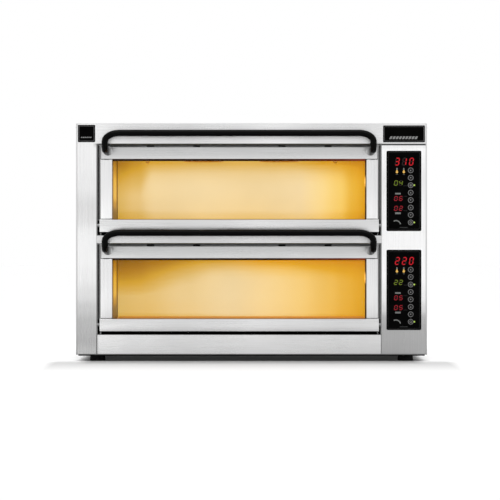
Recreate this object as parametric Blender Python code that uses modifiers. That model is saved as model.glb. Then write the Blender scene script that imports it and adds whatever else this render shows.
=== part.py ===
"""Two-deck countertop pizza oven: a stainless cabinet, two heated chambers and drop-down glazed doors.

Metres, +Z up, front towards -Y. The origin is on the floor, in the middle of the whole object's outline.
"""
import math

import bmesh
import bpy
from mathutils import Matrix, Vector

# Cabinet
WIDTH = 1.000
DEPTH = 0.560
HEIGHT = 0.678
FRONT = -0.262                      # front faces of the cabinet
BACK = FRONT + DEPTH
HALF_WIDTH = WIDTH / 2
SHEET = 0.0015                      # stainless sheet
FOLD = 0.002                        # stiffer folded sheet: doors, hinge rails, floor and roof
GAP = 0.0003                        # between pieces that touch
HEM = 0.0035                        # front edge of a side panel, seen from the front
FOOT_HEIGHT = 0.018
FOOT_RADIUS = 0.0225
FOOT_INSET = (0.060, 0.045)         # foot centre from the cabinet's side, and from its front and back
SHELL_BOTTOM = FOOT_HEIGHT + FOLD + GAP
SHELL_TOP = HEIGHT - FOLD - GAP
BAY_LEFT = -0.442                   # the doors' bay, between the left column and the control column
BAY_RIGHT = 0.371
HEADER_BOTTOM = 0.6185
DIVIDER_BOTTOM = 0.336
DIVIDER_TOP = 0.357
BASE_TOP = 0.0745
RETURN_DEPTH = 0.0395               # how far the front panels' edges fold back
SIDE_RETURN = 0.015                 # how far the side panels fold round to the back
BADGE_THICKNESS = 0.002
BADGE_CORNER = 0.002
BADGES = (                          # name, left, right, bottom, top
    ("left_badge", -0.4945, -0.4455, 0.6235, 0.6725),
    ("right_badge", 0.3750, 0.4940, 0.6230, 0.6710),
)

# Ventilation slots
SLOT_WIDTH = 0.004
LOUVRE_CENTRES = (-0.30, 0.0, 0.25)
LOUVRE_HALF_LENGTH = 0.060
LOUVRE_ROWS = 4
LOUVRE_FIRST_Z = 0.600
LOUVRE_PITCH = 0.012
FAN_SLOT_HALF_LENGTH = 0.034
FAN_SLOT_PITCH = 0.010
FLOOR_SLOT_WIDTH = 0.006
FLOOR_SLOT_PITCH = 0.015
FLOOR_SLOT_ENDS = (0.120, 0.220)    # from front to back, under the control compartment

# Doors
DOOR_LEFT = -0.430
DOOR_RIGHT = 0.360
DOOR_HEIGHT = 0.242
DOOR_THICKNESS = 0.030
LOWER_DOOR_BOTTOM = 0.0845
DECK_PITCH = 0.283
STILE = 0.033
TOP_RAIL = 0.034
BOTTOM_RAIL = 0.036
RAIL_STEP = 0.003                   # the bottom rail is this much wider than the stiles, on each side
GLASS = 0.004
OUTER_GLASS_DEPTH = 0.0062          # from the door's face to its outer pane
PIVOT_HEIGHT = 0.0185               # hinge axis above the door's bottom edge
PIVOT_DEPTH = 0.009                 # hinge axis behind the door's face
PIN_RADIUS = 0.005
HANDLE_RADIUS = 0.0092
HANDLE_SPAN = 0.762                 # between the centres of the two legs
HANDLE_RISE = 0.0385                # bar's centre above the door's top edge
HANDLE_STANDOFF = 0.0488            # bar's centre in front of the door's face
HANDLE_FOOT_BEND = 0.020            # radius of the bend from a leg back to the door
HANDLE_CORNER = (0.040, 0.024)      # the oval bend from the bar to a leg: along the bar, and down
HANDLE_FOOT_DROP = 0.0095           # where the legs meet the door, below its top edge
DECKS = {"lower": LOWER_DOOR_BOTTOM, "upper": LOWER_DOOR_BOTTOM + DECK_PITCH}

# Chambers, heights counted from the door's bottom edge
LINER_FRONT = FRONT + 0.040
LINER_LEFT = -0.399
LINER_RIGHT = 0.339
LINER_BACK = 0.222
LINER_FLOOR = -0.004
LINER_CEILING = 0.222
LINER_TOP_FLANGE = 0.026
LINER_BOTTOM_FLANGE = 0.0035
LEDGE = 0.012
STONE_TOP = 0.034
STONE_THICKNESS = 0.018
STONE_MARGIN = 0.006
ELEMENT_RADIUS = 0.004
ELEMENT_RUNS = 6
ELEMENT_PITCH = 0.112
ELEMENT_HEIGHTS = {"bottom": 0.006, "top": 0.213}
TERMINAL_Y = 0.280                  # ends of the heating elements, behind the insulation
LAMP_Y = 0.100
LAMP_HEIGHT = 0.150
LAMP_NECK_RADIUS = 0.014
HOLE_CLEARANCE = 0.0015

# Insulation block round both chambers
JACKET_LOW = Vector((-0.437, LINER_FRONT + 0.004, 0.024))
JACKET_HIGH = Vector((0.366, 0.268, 0.668))

# Controls
PANEL_LEFT = 0.385
PANEL_RIGHT = 0.4826
PANEL_BOTTOM = 0.004                # above the door's bottom edge
PANEL_HEIGHT = 0.227
PANEL_PROUD = 0.0008
PANEL_THICKNESS = 0.003
PANEL_CORNER = 0.004
KEY_X = 0.4535
KEY_FIRST_DROP = 0.0553             # first key's centre below the panel's top edge
KEY_PITCH = 0.0212
KEYS_PER_DECK = 8
KEY_RADIUS = 0.008
KEY_PROUD = 0.0006                  # out of the panel; also how far a key travels
KEY_FLANGE_RADIUS = 0.0092
BOARD_Y = FRONT + 0.008
BOARD_THICKNESS = 0.0016
BOARD_LOW = (0.380, 0.090)          # x and z of the board's corners
BOARD_HIGH = (0.488, 0.600)
TRANSFORMER = (0.395, 0.445, 0.105, 0.150, 0.034)   # left, right, bottom, top, depth
RELAY = (0.400, 0.420, 0.028, 0.016)                # left, right, height, depth
RELAY_FIRST_Z = 0.180
RELAY_PITCH = 0.100
RELAYS = 4

# Fan and cable gland, at the back of the control compartment
SERVICE_X = 0.435
FAN_Z = 0.240
FAN_SIDE = 0.080
FAN_DEPTH = 0.025
FAN_BORE = 0.038
FAN_HUB = 0.017
FAN_BLADES = 7
GLAND_Z = 0.080
GLAND_NECK = 0.0115
GLAND_PROJECTION = 0.022

ROUND = 24                          # sides of a round piece

COLOURS = {
    "stainless": ((0.80, 0.80, 0.79), 0.28, 1.0),
    "dark_stainless": ((0.42, 0.42, 0.42), 0.40, 1.0),
    "black_paint": ((0.012, 0.012, 0.012), 0.35, 0.0),
    "black_acrylic": ((0.008, 0.008, 0.009), 0.12, 0.0),
    "key_cap": ((0.030, 0.030, 0.032), 0.30, 0.0),
    "window_glass": ((0.86, 0.88, 0.86), 0.04, 0.0),
    "liner_steel": ((0.72, 0.62, 0.44), 0.35, 1.0),
    "hearth_stone": ((0.52, 0.44, 0.33), 0.90, 0.0),
    "element_sheath": ((0.16, 0.15, 0.15), 0.45, 1.0),
    "lamp_glass": ((0.95, 0.86, 0.62), 0.10, 0.0),
    "mineral_wool": ((0.62, 0.58, 0.46), 0.95, 0.0),
    "circuit_board": ((0.03, 0.16, 0.07), 0.50, 0.0),
    "black_plastic": ((0.020, 0.020, 0.021), 0.50, 0.0),
    "foot_rubber": ((0.015, 0.015, 0.015), 0.80, 0.0),
    "pin_steel": ((0.62, 0.62, 0.62), 0.25, 1.0),
}


def clear_scene():
    for thing in list(bpy.data.objects):
        bpy.data.objects.remove(thing, do_unlink=True)


def collection(name):
    made = bpy.data.collections.new(name)
    bpy.context.scene.collection.children.link(made)
    return made


clear_scene()
PARTS = collection("pizza_oven")
CUTTERS = collection("cutters")


def material(name):
    if name in bpy.data.materials:
        return bpy.data.materials[name]
    colour, roughness, metallic = COLOURS[name]
    made = bpy.data.materials.new(name)
    made.use_nodes = True
    shader = made.node_tree.nodes["Principled BSDF"]
    shader.inputs["Base Color"].default_value = (*colour, 1.0)
    shader.inputs["Roughness"].default_value = roughness
    shader.inputs["Metallic"].default_value = metallic
    made.diffuse_color = (*colour, 1.0)
    return made


def place(name, mesh, finish=None, at=(0, 0, 0)):
    """An object in the parts' collection, or in the cutters' when it has no finish."""
    thing = bpy.data.objects.new(name, mesh)
    thing.location = at
    if finish:
        mesh.materials.append(material(finish))
        PARTS.objects.link(thing)
    else:
        CUTTERS.objects.link(thing)
        thing.hide_render = True
        thing.display_type = "WIRE"
    return thing


def mesh_from(name, bm, smooth=False):
    mesh = bpy.data.meshes.new(name)
    bm.normal_update()
    bm.to_mesh(mesh)
    bm.free()
    if smooth:
        mesh.shade_smooth()
        mesh.set_sharp_from_angle(angle=math.radians(35))
    return mesh


def add_block(bm, low, high):
    """A box between two corners."""
    low, high = Vector(low), Vector(high)
    matrix = Matrix.Translation((low + high) / 2) @ Matrix.Diagonal((*(high - low), 1))
    bmesh.ops.create_cube(bm, size=1, matrix=matrix)


def add_rod(bm, start, end, radius, sides=ROUND):
    """A cylinder between two points."""
    start, end = Vector(start), Vector(end)
    turn = (end - start).to_track_quat("Z", "Y").to_matrix().to_4x4()
    bmesh.ops.create_cone(
        bm, cap_ends=True, segments=sides, radius1=radius, radius2=radius,
        depth=(end - start).length, matrix=Matrix.Translation((start + end) / 2) @ turn,
    )


def block(name, low, high, finish=None, edge=0.0):
    """A box with its origin at its centre, and its edges rounded if edge is given."""
    low, high = Vector(low), Vector(high)
    centre = (low + high) / 2
    bm = bmesh.new()
    add_block(bm, low - centre, high - centre)
    thing = place(name, mesh_from(name, bm), finish, centre)
    if edge:
        bevel = thing.modifiers.new("edge", "BEVEL")
        bevel.width = edge
        bevel.segments = 1
    return thing


def blocks_cutter(name, boxes):
    bm = bmesh.new()
    for low, high in boxes:
        add_block(bm, low, high)
    return place(name, mesh_from(name, bm))


def rods_cutter(name, rods, sides=ROUND):
    bm = bmesh.new()
    for start, end, radius in rods:
        add_rod(bm, start, end, radius, sides)
    return place(name, mesh_from(name, bm))


def boolean(thing, other, operation):
    step = thing.modifiers.new(f"{operation.lower()}_{other.name}", "BOOLEAN")
    step.object = other
    step.operation = operation
    step.solver = "EXACT"


def cut(thing, cutter):
    boolean(thing, cutter, "DIFFERENCE")


def join(thing, *others):
    for other in others:
        boolean(thing, other, "UNION")


def fused(name, boxes, finish):
    """One solid made of overlapping boxes."""
    thing = block(name, *boxes[0], finish)
    join(thing, *(block(f"{name}_join_{i}", *box) for i, box in enumerate(boxes[1:])))
    return thing


def folded_sheet(name, section, axis, start, end, thickness, finish):
    """A sheet folded along an open section and run along X or Z, with the section on its outer face.

    Seen from above, or from the right, the section turns anticlockwise round what it encloses.
    """
    bm = bmesh.new()
    rows = []
    for along in (start, end):
        if axis == "X":
            rows.append([bm.verts.new((along, a, b)) for a, b in section])
        else:
            rows.append([bm.verts.new((a, b, along)) for a, b in section])
    for i in range(len(section) - 1):
        bm.faces.new((rows[0][i], rows[0][i + 1], rows[1][i + 1], rows[1][i]))
    thing = place(name, mesh_from(name, bm), finish)
    solidify = thing.modifiers.new("sheet", "SOLIDIFY")
    solidify.thickness = thickness
    solidify.offset = -1
    solidify.use_even_offset = True
    return thing


def circle(x, z, radius, sides=ROUND):
    turns = (2 * math.pi * i / sides for i in range(sides))
    return [(x + radius * math.cos(t), z + radius * math.sin(t)) for t in turns]


def rectangle(left, right, bottom, top, corner=0.0, steps=3):
    """A rectangle, with rounded corners if corner is given."""
    if not corner:
        return [(left, bottom), (right, bottom), (right, top), (left, top)]
    centres = (
        (right - corner, bottom + corner), (right - corner, top - corner),
        (left + corner, top - corner), (left + corner, bottom + corner),
    )
    points = []
    for quarter, (x, z) in enumerate(centres):
        for step in range(steps + 1):
            turn = math.pi / 2 * (quarter - 1 + step / steps)
            points.append((x + corner * math.cos(turn), z + corner * math.sin(turn)))
    return points


def plate(name, outlines, front, thickness, finish=None, lying=False):
    """A flat piece with holes: standing in XZ with its face at y = front, or lying in XY with its base there."""
    curve = bpy.data.curves.new(name, "CURVE")
    curve.dimensions = "2D"
    curve.fill_mode = "BOTH"
    curve.extrude = thickness / 2
    for outline in outlines:
        spline = curve.splines.new("POLY")
        spline.points.add(len(outline) - 1)
        for point, (a, b) in zip(spline.points, outline):
            point.co = (a, b, 0, 1)
        spline.use_cyclic_u = True
    guide = bpy.data.objects.new(name, curve)
    CUTTERS.objects.link(guide)
    if lying:
        guide.location = (0, 0, front + thickness / 2)
    else:
        guide.location = (0, front + thickness / 2, 0)
        guide.rotation_euler = (math.pi / 2, 0, 0)
    return solid_from_curve(guide, finish)


def solid_from_curve(guide, finish=None, smooth=False):
    """The curve's evaluated shape as a closed mesh that a Boolean can use."""
    bpy.context.view_layer.update()
    name = guide.name
    evaluated = guide.evaluated_get(bpy.context.evaluated_depsgraph_get())
    mesh = bpy.data.meshes.new_from_object(evaluated)
    matrix = guide.matrix_world.copy()
    bpy.data.objects.remove(guide, do_unlink=True)
    bm = bmesh.new()
    bm.from_mesh(mesh)
    bpy.data.meshes.remove(mesh)
    bmesh.ops.remove_doubles(bm, verts=bm.verts, dist=1e-6)
    thing = place(name, mesh_from(name, bm, smooth), finish)
    thing.matrix_world = matrix
    return thing


def tube(name, points, radius, finish, resolution):
    """A round bar along a line of points."""
    curve = bpy.data.curves.new(name, "CURVE")
    curve.dimensions = "3D"
    curve.bevel_depth = radius
    curve.bevel_resolution = resolution
    curve.use_fill_caps = True
    spline = curve.splines.new("POLY")
    spline.points.add(len(points) - 1)
    for point, place_at in zip(spline.points, points):
        point.co = (*place_at, 1)
    guide = bpy.data.objects.new(name, curve)
    CUTTERS.objects.link(guide)
    return solid_from_curve(guide, finish, smooth=True)


def turned(name, profile, at, axis, finish, sides=ROUND):
    """A turned solid: the profile is (radius, height) from top to bottom, and axis is the top's direction."""
    mesh = bpy.data.meshes.new(name)
    verts = [(radius, 0, height) for radius, height in profile]
    mesh.from_pydata(verts, [(i, i + 1) for i in range(len(verts) - 1)], [])
    thing = place(name, mesh, finish, at)
    thing.rotation_mode = "QUATERNION"
    thing.rotation_quaternion = Vector(axis).to_track_quat("Z", "Y")
    screw = thing.modifiers.new("turn", "SCREW")
    screw.steps = sides
    screw.render_steps = sides
    screw.use_merge_vertices = True
    screw.merge_threshold = 0.00001
    screw.use_smooth_shade = False
    return thing


def arc(centre, start, end, steps):
    """Points of a quarter turn, round or oval, between two square directions counted from its centre."""
    turns = (math.pi / 2 * step / steps for step in range(steps + 1))
    return [centre + start * math.cos(turn) + end * math.sin(turn) for turn in turns]


# Cabinet

def floor_and_feet():
    half = FLOOR_SLOT_WIDTH / 2
    middles = (SERVICE_X + FLOOR_SLOT_PITCH * i for i in range(-2, 3))
    slots = [rectangle(x - half, x + half, *FLOOR_SLOT_ENDS) for x in middles]
    plate(
        "base_tray", [rectangle(-HALF_WIDTH, HALF_WIDTH, FRONT, BACK), *slots],
        FOOT_HEIGHT, FOLD, "dark_stainless", lying=True,
    )
    profile = (
        (0, FOOT_HEIGHT - GAP), (FOOT_RADIUS * 0.8, FOOT_HEIGHT - GAP), (FOOT_RADIUS, 0.008),
        (FOOT_RADIUS, 0.0015), (FOOT_RADIUS - 0.0015, 0), (0, 0),
    )
    for side, sign in (("left", -1), ("right", 1)):
        x = sign * (HALF_WIDTH - FOOT_INSET[0])
        for end, y in (("front", FRONT + FOOT_INSET[1]), ("rear", BACK - FOOT_INSET[1])):
            turned(f"foot_{end}_{side}", profile, (x, y, 0), (0, 0, 1), "foot_rubber")


def side_panels():
    for side, sign in (("left", -1), ("right", 1)):
        section = [
            (sign * (HALF_WIDTH - HEM), FRONT), (sign * HALF_WIDTH, FRONT),
            (sign * HALF_WIDTH, BACK), (sign * (HALF_WIDTH - SIDE_RETURN), BACK),
        ]
        if sign < 0:
            section.reverse()
        folded_sheet(f"{side}_side_panel", section, "Z", SHELL_BOTTOM, SHELL_TOP, SHEET, "stainless")


def rear_panel():
    """The back, with louvre slots over the chambers and at the fan, and a hole for the cable gland."""
    edge = HALF_WIDTH - SIDE_RETURN - GAP
    holes = [circle(SERVICE_X, GLAND_Z, GLAND_NECK + GAP)]
    slots = [(SERVICE_X, FAN_SLOT_HALF_LENGTH, FAN_Z + FAN_SLOT_PITCH * i) for i in range(-3, 4)]
    for centre in LOUVRE_CENTRES:
        for i in range(LOUVRE_ROWS):
            slots.append((centre, LOUVRE_HALF_LENGTH, LOUVRE_FIRST_Z + LOUVRE_PITCH * i))
    half = SLOT_WIDTH / 2
    holes += [rectangle(x - reach, x + reach, z - half, z + half) for x, reach, z in slots]
    outline = rectangle(-edge, edge, SHELL_BOTTOM, SHELL_TOP)
    plate("rear_panel", [outline, *holes], BACK - SHEET, SHEET, "stainless")


def front_panels():
    """Left column with the header in one sheet, the control column, the divider and the base panel."""
    edge = HALF_WIDTH - HEM - GAP
    fold = FRONT + RETURN_DEPTH
    fused(
        "front_frame",
        [
            ((-edge, FRONT, SHELL_BOTTOM), (BAY_LEFT, FRONT + SHEET, SHELL_TOP)),
            ((BAY_LEFT - SHEET, FRONT, HEADER_BOTTOM), (edge, FRONT + SHEET, SHELL_TOP)),
            ((BAY_LEFT - SHEET, FRONT, SHELL_BOTTOM), (BAY_LEFT, fold, HEADER_BOTTOM + SHEET)),
            ((BAY_LEFT - SHEET, FRONT, HEADER_BOTTOM), (edge, fold, HEADER_BOTTOM + SHEET)),
        ],
        "stainless",
    )
    top = HEADER_BOTTOM - SHEET
    fascia = fused(
        "control_fascia",
        [
            ((BAY_RIGHT, FRONT, SHELL_BOTTOM), (edge, FRONT + SHEET, top)),
            ((BAY_RIGHT, FRONT, SHELL_BOTTOM), (BAY_RIGHT + SHEET, fold, top)),
        ],
        "stainless",
    )
    for deck, bottom in DECKS.items():
        low = bottom + PANEL_BOTTOM - GAP
        high = low + PANEL_HEIGHT + 2 * GAP
        outline = rectangle(PANEL_LEFT - GAP, PANEL_RIGHT + GAP, low, high, PANEL_CORNER)
        cut(fascia, plate(f"{deck}_panel_window", [outline], FRONT - 0.005, 0.010))
    left, right = BAY_LEFT + 2 * GAP, BAY_RIGHT - 2 * GAP
    section = [(fold, DIVIDER_TOP), (FRONT, DIVIDER_TOP), (FRONT, DIVIDER_BOTTOM), (fold, DIVIDER_BOTTOM)]
    folded_sheet("divider_panel", section, "X", left, right, SHEET, "stainless")
    folded_sheet(
        "base_front_panel", [(fold, BASE_TOP), (FRONT, BASE_TOP), (FRONT, SHELL_BOTTOM)],
        "X", left, right, SHEET, "stainless",
    )


def badges():
    for name, left, right, bottom, top in BADGES:
        outline = rectangle(left, right, bottom, top, BADGE_CORNER, 2)
        plate(name, [outline], FRONT - BADGE_THICKNESS, BADGE_THICKNESS - GAP, "black_acrylic")


def hinge_rails():
    """Angles beside the doors: each carries both doors' pins and closes the gap to the chambers."""
    for side, wall, inner in (
        ("left", BAY_LEFT + 0.0005, LINER_LEFT - 0.003),
        ("right", BAY_RIGHT - 0.0005, LINER_RIGHT + 0.003),
    ):
        sign = 1 if side == "left" else -1
        back = LINER_FRONT + FOLD
        section = [(wall, FRONT + 0.002), (wall, back), (inner, back)]
        if side == "left":
            section.reverse()
        low_z, high_z = BASE_TOP + 0.001, HEADER_BOTTOM - 0.0005
        rail = folded_sheet(f"{side}_hinge_rail", section, "Z", low_z, high_z, FOLD, "dark_stainless")
        reach = 0.004
        pins = []
        for bottom in DECKS.values():
            y, z = FRONT + PIVOT_DEPTH, bottom + PIVOT_HEIGHT
            pins.append(((wall - reach, y, z), (wall + reach, y, z), PIN_RADIUS + GAP))
        cut(rail, rods_cutter(f"{side}_rail_pin_holes", pins))
        low_x, high_x = sorted((wall - sign * reach, wall + sign * (FOLD + reach)))
        notch = (
            (low_x, FRONT - reach, DIVIDER_BOTTOM - 0.0005),
            (high_x, FRONT + RETURN_DEPTH + GAP, DIVIDER_TOP + 0.0005),
        )
        cut(rail, blocks_cutter(f"{side}_rail_notch", [notch]))


# Chambers

def element_path(z):
    """Runs from back to front and back again, joined by half turns, with both ends through the back."""
    turn = ELEMENT_PITCH / 2
    centre = (LINER_LEFT + LINER_RIGHT) / 2
    first = centre - ELEMENT_PITCH * (ELEMENT_RUNS - 1) / 2
    near, far = LINER_FRONT + 0.100, LINER_BACK - 0.090
    points = [Vector((first, TERMINAL_Y, z))]
    for run in range(ELEMENT_RUNS - 1):
        x = first + ELEMENT_PITCH * run
        forward = run % 2 == 0
        middle = Vector((x + turn, near if forward else far, z))
        sign = -1 if forward else 1
        for step in range(7):
            angle = math.pi * (1 - step / 6)
            points.append(middle + turn * Vector((math.cos(angle), sign * math.sin(angle), 0)))
    points.append(Vector((first + ELEMENT_PITCH * (ELEMENT_RUNS - 1), TERMINAL_Y, z)))
    return points


def terminal_rods(bottom, radius):
    """The element ends' paths through the chamber's back and the insulation."""
    rods = []
    for height in ELEMENT_HEIGHTS.values():
        path = element_path(bottom + height)
        for end in (path[0], path[-1]):
            rods.append(((end.x, LINER_BACK - 0.010, end.z), (end.x, TERMINAL_Y + 0.010, end.z), radius))
    return rods


def chamber(deck, bottom):
    floor, ceiling = bottom + LINER_FLOOR, bottom + LINER_CEILING
    left, right = LINER_LEFT - SHEET, LINER_RIGHT + SHEET
    flange_back = LINER_FRONT + SHEET
    stone_bottom = bottom + STONE_TOP - STONE_THICKNESS
    ledge_low, ledge_high = stone_bottom - 0.003, stone_bottom - GAP
    liner = fused(
        f"{deck}_chamber_liner",
        [
            ((left, LINER_FRONT, floor - SHEET), (right, LINER_BACK + SHEET, ceiling + SHEET)),
            ((left, LINER_FRONT, ceiling), (right, flange_back, ceiling + LINER_TOP_FLANGE)),
            ((left, LINER_FRONT, floor - LINER_BOTTOM_FLANGE), (right, flange_back, floor)),
        ],
        "liner_steel",
    )
    hollow = blocks_cutter(
        f"{deck}_liner_hollow",
        [((LINER_LEFT, LINER_FRONT - 0.010, floor), (LINER_RIGHT, LINER_BACK, ceiling))],
    )
    cut(liner, hollow)
    ledge_front, ledge_back = LINER_FRONT + 0.010, LINER_BACK - 0.010
    for side, x0, x1 in (
        ("left", LINER_LEFT - SHEET / 2, LINER_LEFT + LEDGE),
        ("right", LINER_RIGHT - LEDGE, LINER_RIGHT + SHEET / 2),
    ):
        low, high = (x0, ledge_front, ledge_low), (x1, ledge_back, ledge_high)
        join(liner, block(f"{deck}_{side}_ledge", low, high))
    rods = terminal_rods(bottom, ELEMENT_RADIUS + HOLE_CLEARANCE)
    cut(liner, rods_cutter(f"{deck}_liner_terminals", rods, 12))
    lamp_z = bottom + LAMP_HEIGHT
    start, end = (LINER_RIGHT - 0.010, LAMP_Y, lamp_z), (LINER_RIGHT + 0.010, LAMP_Y, lamp_z)
    cut(liner, rods_cutter(f"{deck}_liner_lamp_hole", [(start, end, LAMP_NECK_RADIUS + GAP)]))

    block(
        f"{deck}_hearth_stone",
        (LINER_LEFT + STONE_MARGIN, LINER_FRONT + 0.006, stone_bottom),
        (LINER_RIGHT - STONE_MARGIN, LINER_BACK - STONE_MARGIN, bottom + STONE_TOP),
        "hearth_stone", edge=0.0015,
    )
    for level, height in ELEMENT_HEIGHTS.items():
        tube(f"{deck}_{level}_element", element_path(bottom + height), ELEMENT_RADIUS, "element_sheath", 1)
    lens = 0.022
    profile = (
        (0, 0.0045), (lens * 0.7, 0.0035), (lens, GAP), (LAMP_NECK_RADIUS, GAP),
        (LAMP_NECK_RADIUS, -0.030), (LAMP_NECK_RADIUS * 0.6, -0.033), (0, -0.033),
    )
    turned(f"{deck}_lamp", profile, (LINER_RIGHT, LAMP_Y, lamp_z), (-1, 0, 0), "lamp_glass")


def insulation():
    jacket = block("insulation_jacket", JACKET_LOW, JACKET_HIGH, "mineral_wool")
    clear = SHEET + 0.001
    pockets, rods = [], []
    for bottom in DECKS.values():
        pockets.append((
            (LINER_LEFT - clear, JACKET_LOW.y - 0.010, bottom + LINER_FLOOR - clear),
            (LINER_RIGHT + clear, LINER_BACK + clear, bottom + LINER_CEILING + clear),
        ))
        rods += terminal_rods(bottom, ELEMENT_RADIUS + HOLE_CLEARANCE)
        lamp_z = bottom + LAMP_HEIGHT
        lamp_end = (JACKET_HIGH.x + 0.010, LAMP_Y, lamp_z)
        rods.append(((LINER_RIGHT - 0.010, LAMP_Y, lamp_z), lamp_end, LAMP_NECK_RADIUS + HOLE_CLEARANCE))
    cut(jacket, blocks_cutter("jacket_pockets", pockets))
    cut(jacket, rods_cutter("jacket_holes", rods, 12))


# Doors

def door_axis(deck, bottom):
    """An empty on the door's hinge axis; the door's pieces are its children."""
    axis = bpy.data.objects.new(f"{deck}_door_axis", None)
    axis.location = ((DOOR_LEFT + DOOR_RIGHT) / 2, FRONT + PIVOT_DEPTH, bottom + PIVOT_HEIGHT)
    PARTS.objects.link(axis)
    return axis


def on_axis(thing, axis):
    bpy.context.view_layer.update()
    thing.parent = axis
    thing.matrix_parent_inverse = axis.matrix_world.inverted()


def door_frame(deck, bottom):
    """A folded sheet: outer wall, face and window wall, open at the back."""
    top, rail_top = bottom + DOOR_HEIGHT, bottom + BOTTOM_RAIL
    window_top = top - TOP_RAIL
    left, right = DOOR_LEFT + STILE, DOOR_RIGHT - STILE
    wide_left, wide_right = DOOR_LEFT - RAIL_STEP, DOOR_RIGHT + RAIL_STEP
    outer = [
        (wide_left, bottom), (wide_right, bottom), (wide_right, rail_top), (DOOR_RIGHT, rail_top),
        (DOOR_RIGHT, top), (DOOR_LEFT, top), (DOOR_LEFT, rail_top), (wide_left, rail_top),
    ]
    window = [                      # as many points as the outer wall, so that the loops can be joined
        (left, rail_top), (right, rail_top), (right, rail_top + 0.004), (right, rail_top + 0.008),
        (right, window_top), (left, window_top), (left, rail_top + 0.008), (left, rail_top + 0.004),
    ]
    back = FRONT + DOOR_THICKNESS
    window_back = back - GLASS - 2 * GAP - 0.0005
    bm = bmesh.new()
    loops = [
        [bm.verts.new((x, y, z)) for x, z in loop]
        for y, loop in ((back, outer), (FRONT, outer), (FRONT, window), (window_back, window))
    ]
    for near, far in zip(loops, loops[1:]):
        for i in range(len(outer)):
            j = (i + 1) % len(outer)
            bm.faces.new((near[i], near[j], far[j], far[i]))
    frame = place(f"{deck}_door_frame", mesh_from(f"{deck}_door_frame", bm), "stainless")
    solidify = frame.modifiers.new("sheet", "SOLIDIFY")
    solidify.thickness = FOLD
    solidify.offset = -1
    solidify.solidify_mode = "NON_MANIFOLD"
    solidify.nonmanifold_thickness_mode = "CONSTRAINTS"
    y, z = FRONT + PIVOT_DEPTH, bottom + PIVOT_HEIGHT
    bore = ((wide_left - 0.010, y, z), (wide_right + 0.010, y, z), PIN_RADIUS + GAP)
    cut(frame, rods_cutter(f"{deck}_door_bore", [bore]))
    return frame


def door_glass(deck, bottom):
    """The outer pane inside the window's wall, and the inner pane over the whole back."""
    fit = 0.0004
    face = FRONT + OUTER_GLASS_DEPTH
    outer = block(
        f"{deck}_outer_glass",
        (DOOR_LEFT + STILE + fit, face, bottom + BOTTOM_RAIL + fit),
        (DOOR_RIGHT - STILE - fit, face + GLASS, bottom + DOOR_HEIGHT - TOP_RAIL - fit),
        "window_glass",
    )
    back = FRONT + DOOR_THICKNESS - 0.0005
    edge = FOLD + fit
    inner = block(
        f"{deck}_inner_glass",
        (DOOR_LEFT + edge, back - GLASS, bottom + edge),
        (DOOR_RIGHT - edge, back, bottom + DOOR_HEIGHT - edge),
        "window_glass",
    )
    return outer, inner


def handle(deck, bottom):
    """A round bar in front of and above the door, whose legs come down and turn back into the top rail."""
    centre_x = (DOOR_LEFT + DOOR_RIGHT) / 2
    y = FRONT - HANDLE_STANDOFF
    bar_z = bottom + DOOR_HEIGHT + HANDLE_RISE
    foot_z = bottom + DOOR_HEIGHT - HANDLE_FOOT_DROP
    steps = 6
    left = centre_x - HANDLE_SPAN / 2
    out, up, back = Vector((1, 0, 0)), Vector((0, 0, 1)), Vector((0, 1, 0))
    half = [Vector((left, FRONT - GAP, foot_z))]
    bend, (along, down) = HANDLE_FOOT_BEND, HANDLE_CORNER
    half += arc(Vector((left, y + bend, foot_z + bend)), -up * bend, -back * bend, steps)
    half += arc(Vector((left + along, y, bar_z - down)), -out * along, up * down, steps)
    mirrored = [Vector((2 * centre_x - point.x, point.y, point.z)) for point in reversed(half)]
    return tube(f"{deck}_handle", half + mirrored, HANDLE_RADIUS, "black_paint", 3)


def hinge_shaft(deck, bottom):
    y, z = FRONT + PIVOT_DEPTH, bottom + PIVOT_HEIGHT
    start, end = BAY_LEFT + 0.0009, BAY_RIGHT - 0.0009
    bm = bmesh.new()
    half = (end - start) / 2
    add_rod(bm, (-half, 0, 0), (half, 0, 0), PIN_RADIUS, 16)
    mesh = mesh_from(f"{deck}_hinge_shaft", bm, True)
    return place(mesh.name, mesh, "pin_steel", ((start + end) / 2, y, z))


def door(deck, bottom):
    axis = door_axis(deck, bottom)
    on_axis(door_frame(deck, bottom), axis)
    for pane in door_glass(deck, bottom):
        on_axis(pane, axis)
    on_axis(handle(deck, bottom), axis)
    on_axis(hinge_shaft(deck, bottom), axis)


# Controls

def key_heights(bottom):
    top = bottom + PANEL_BOTTOM + PANEL_HEIGHT
    return [top - KEY_FIRST_DROP - KEY_PITCH * i for i in range(KEYS_PER_DECK)]


def controls(deck, bottom):
    low, high = bottom + PANEL_BOTTOM, bottom + PANEL_BOTTOM + PANEL_HEIGHT
    panel_face = FRONT - PANEL_PROUD
    holes = [circle(KEY_X, z, KEY_RADIUS + GAP) for z in key_heights(bottom)]
    outline = rectangle(PANEL_LEFT, PANEL_RIGHT, low, high, PANEL_CORNER)
    plate(f"{deck}_control_panel", [outline, *holes], panel_face, PANEL_THICKNESS, "black_acrylic")
    flange_front = KEY_PROUD + PANEL_THICKNESS + 0.0004
    flange_back = flange_front + 0.001
    profile = (
        (0, -0.0003), (KEY_RADIUS - 0.0015, 0), (KEY_RADIUS, -0.0005), (KEY_RADIUS, -flange_front),
        (KEY_FLANGE_RADIUS, -flange_front), (KEY_FLANGE_RADIUS, -flange_back), (0, -flange_back),
    )
    for number, z in enumerate(key_heights(bottom), 1):
        at = (KEY_X, panel_face - KEY_PROUD, z)
        turned(f"{deck}_key_{number}", profile, at, (0, -1, 0), "key_cap", 20)


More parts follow.
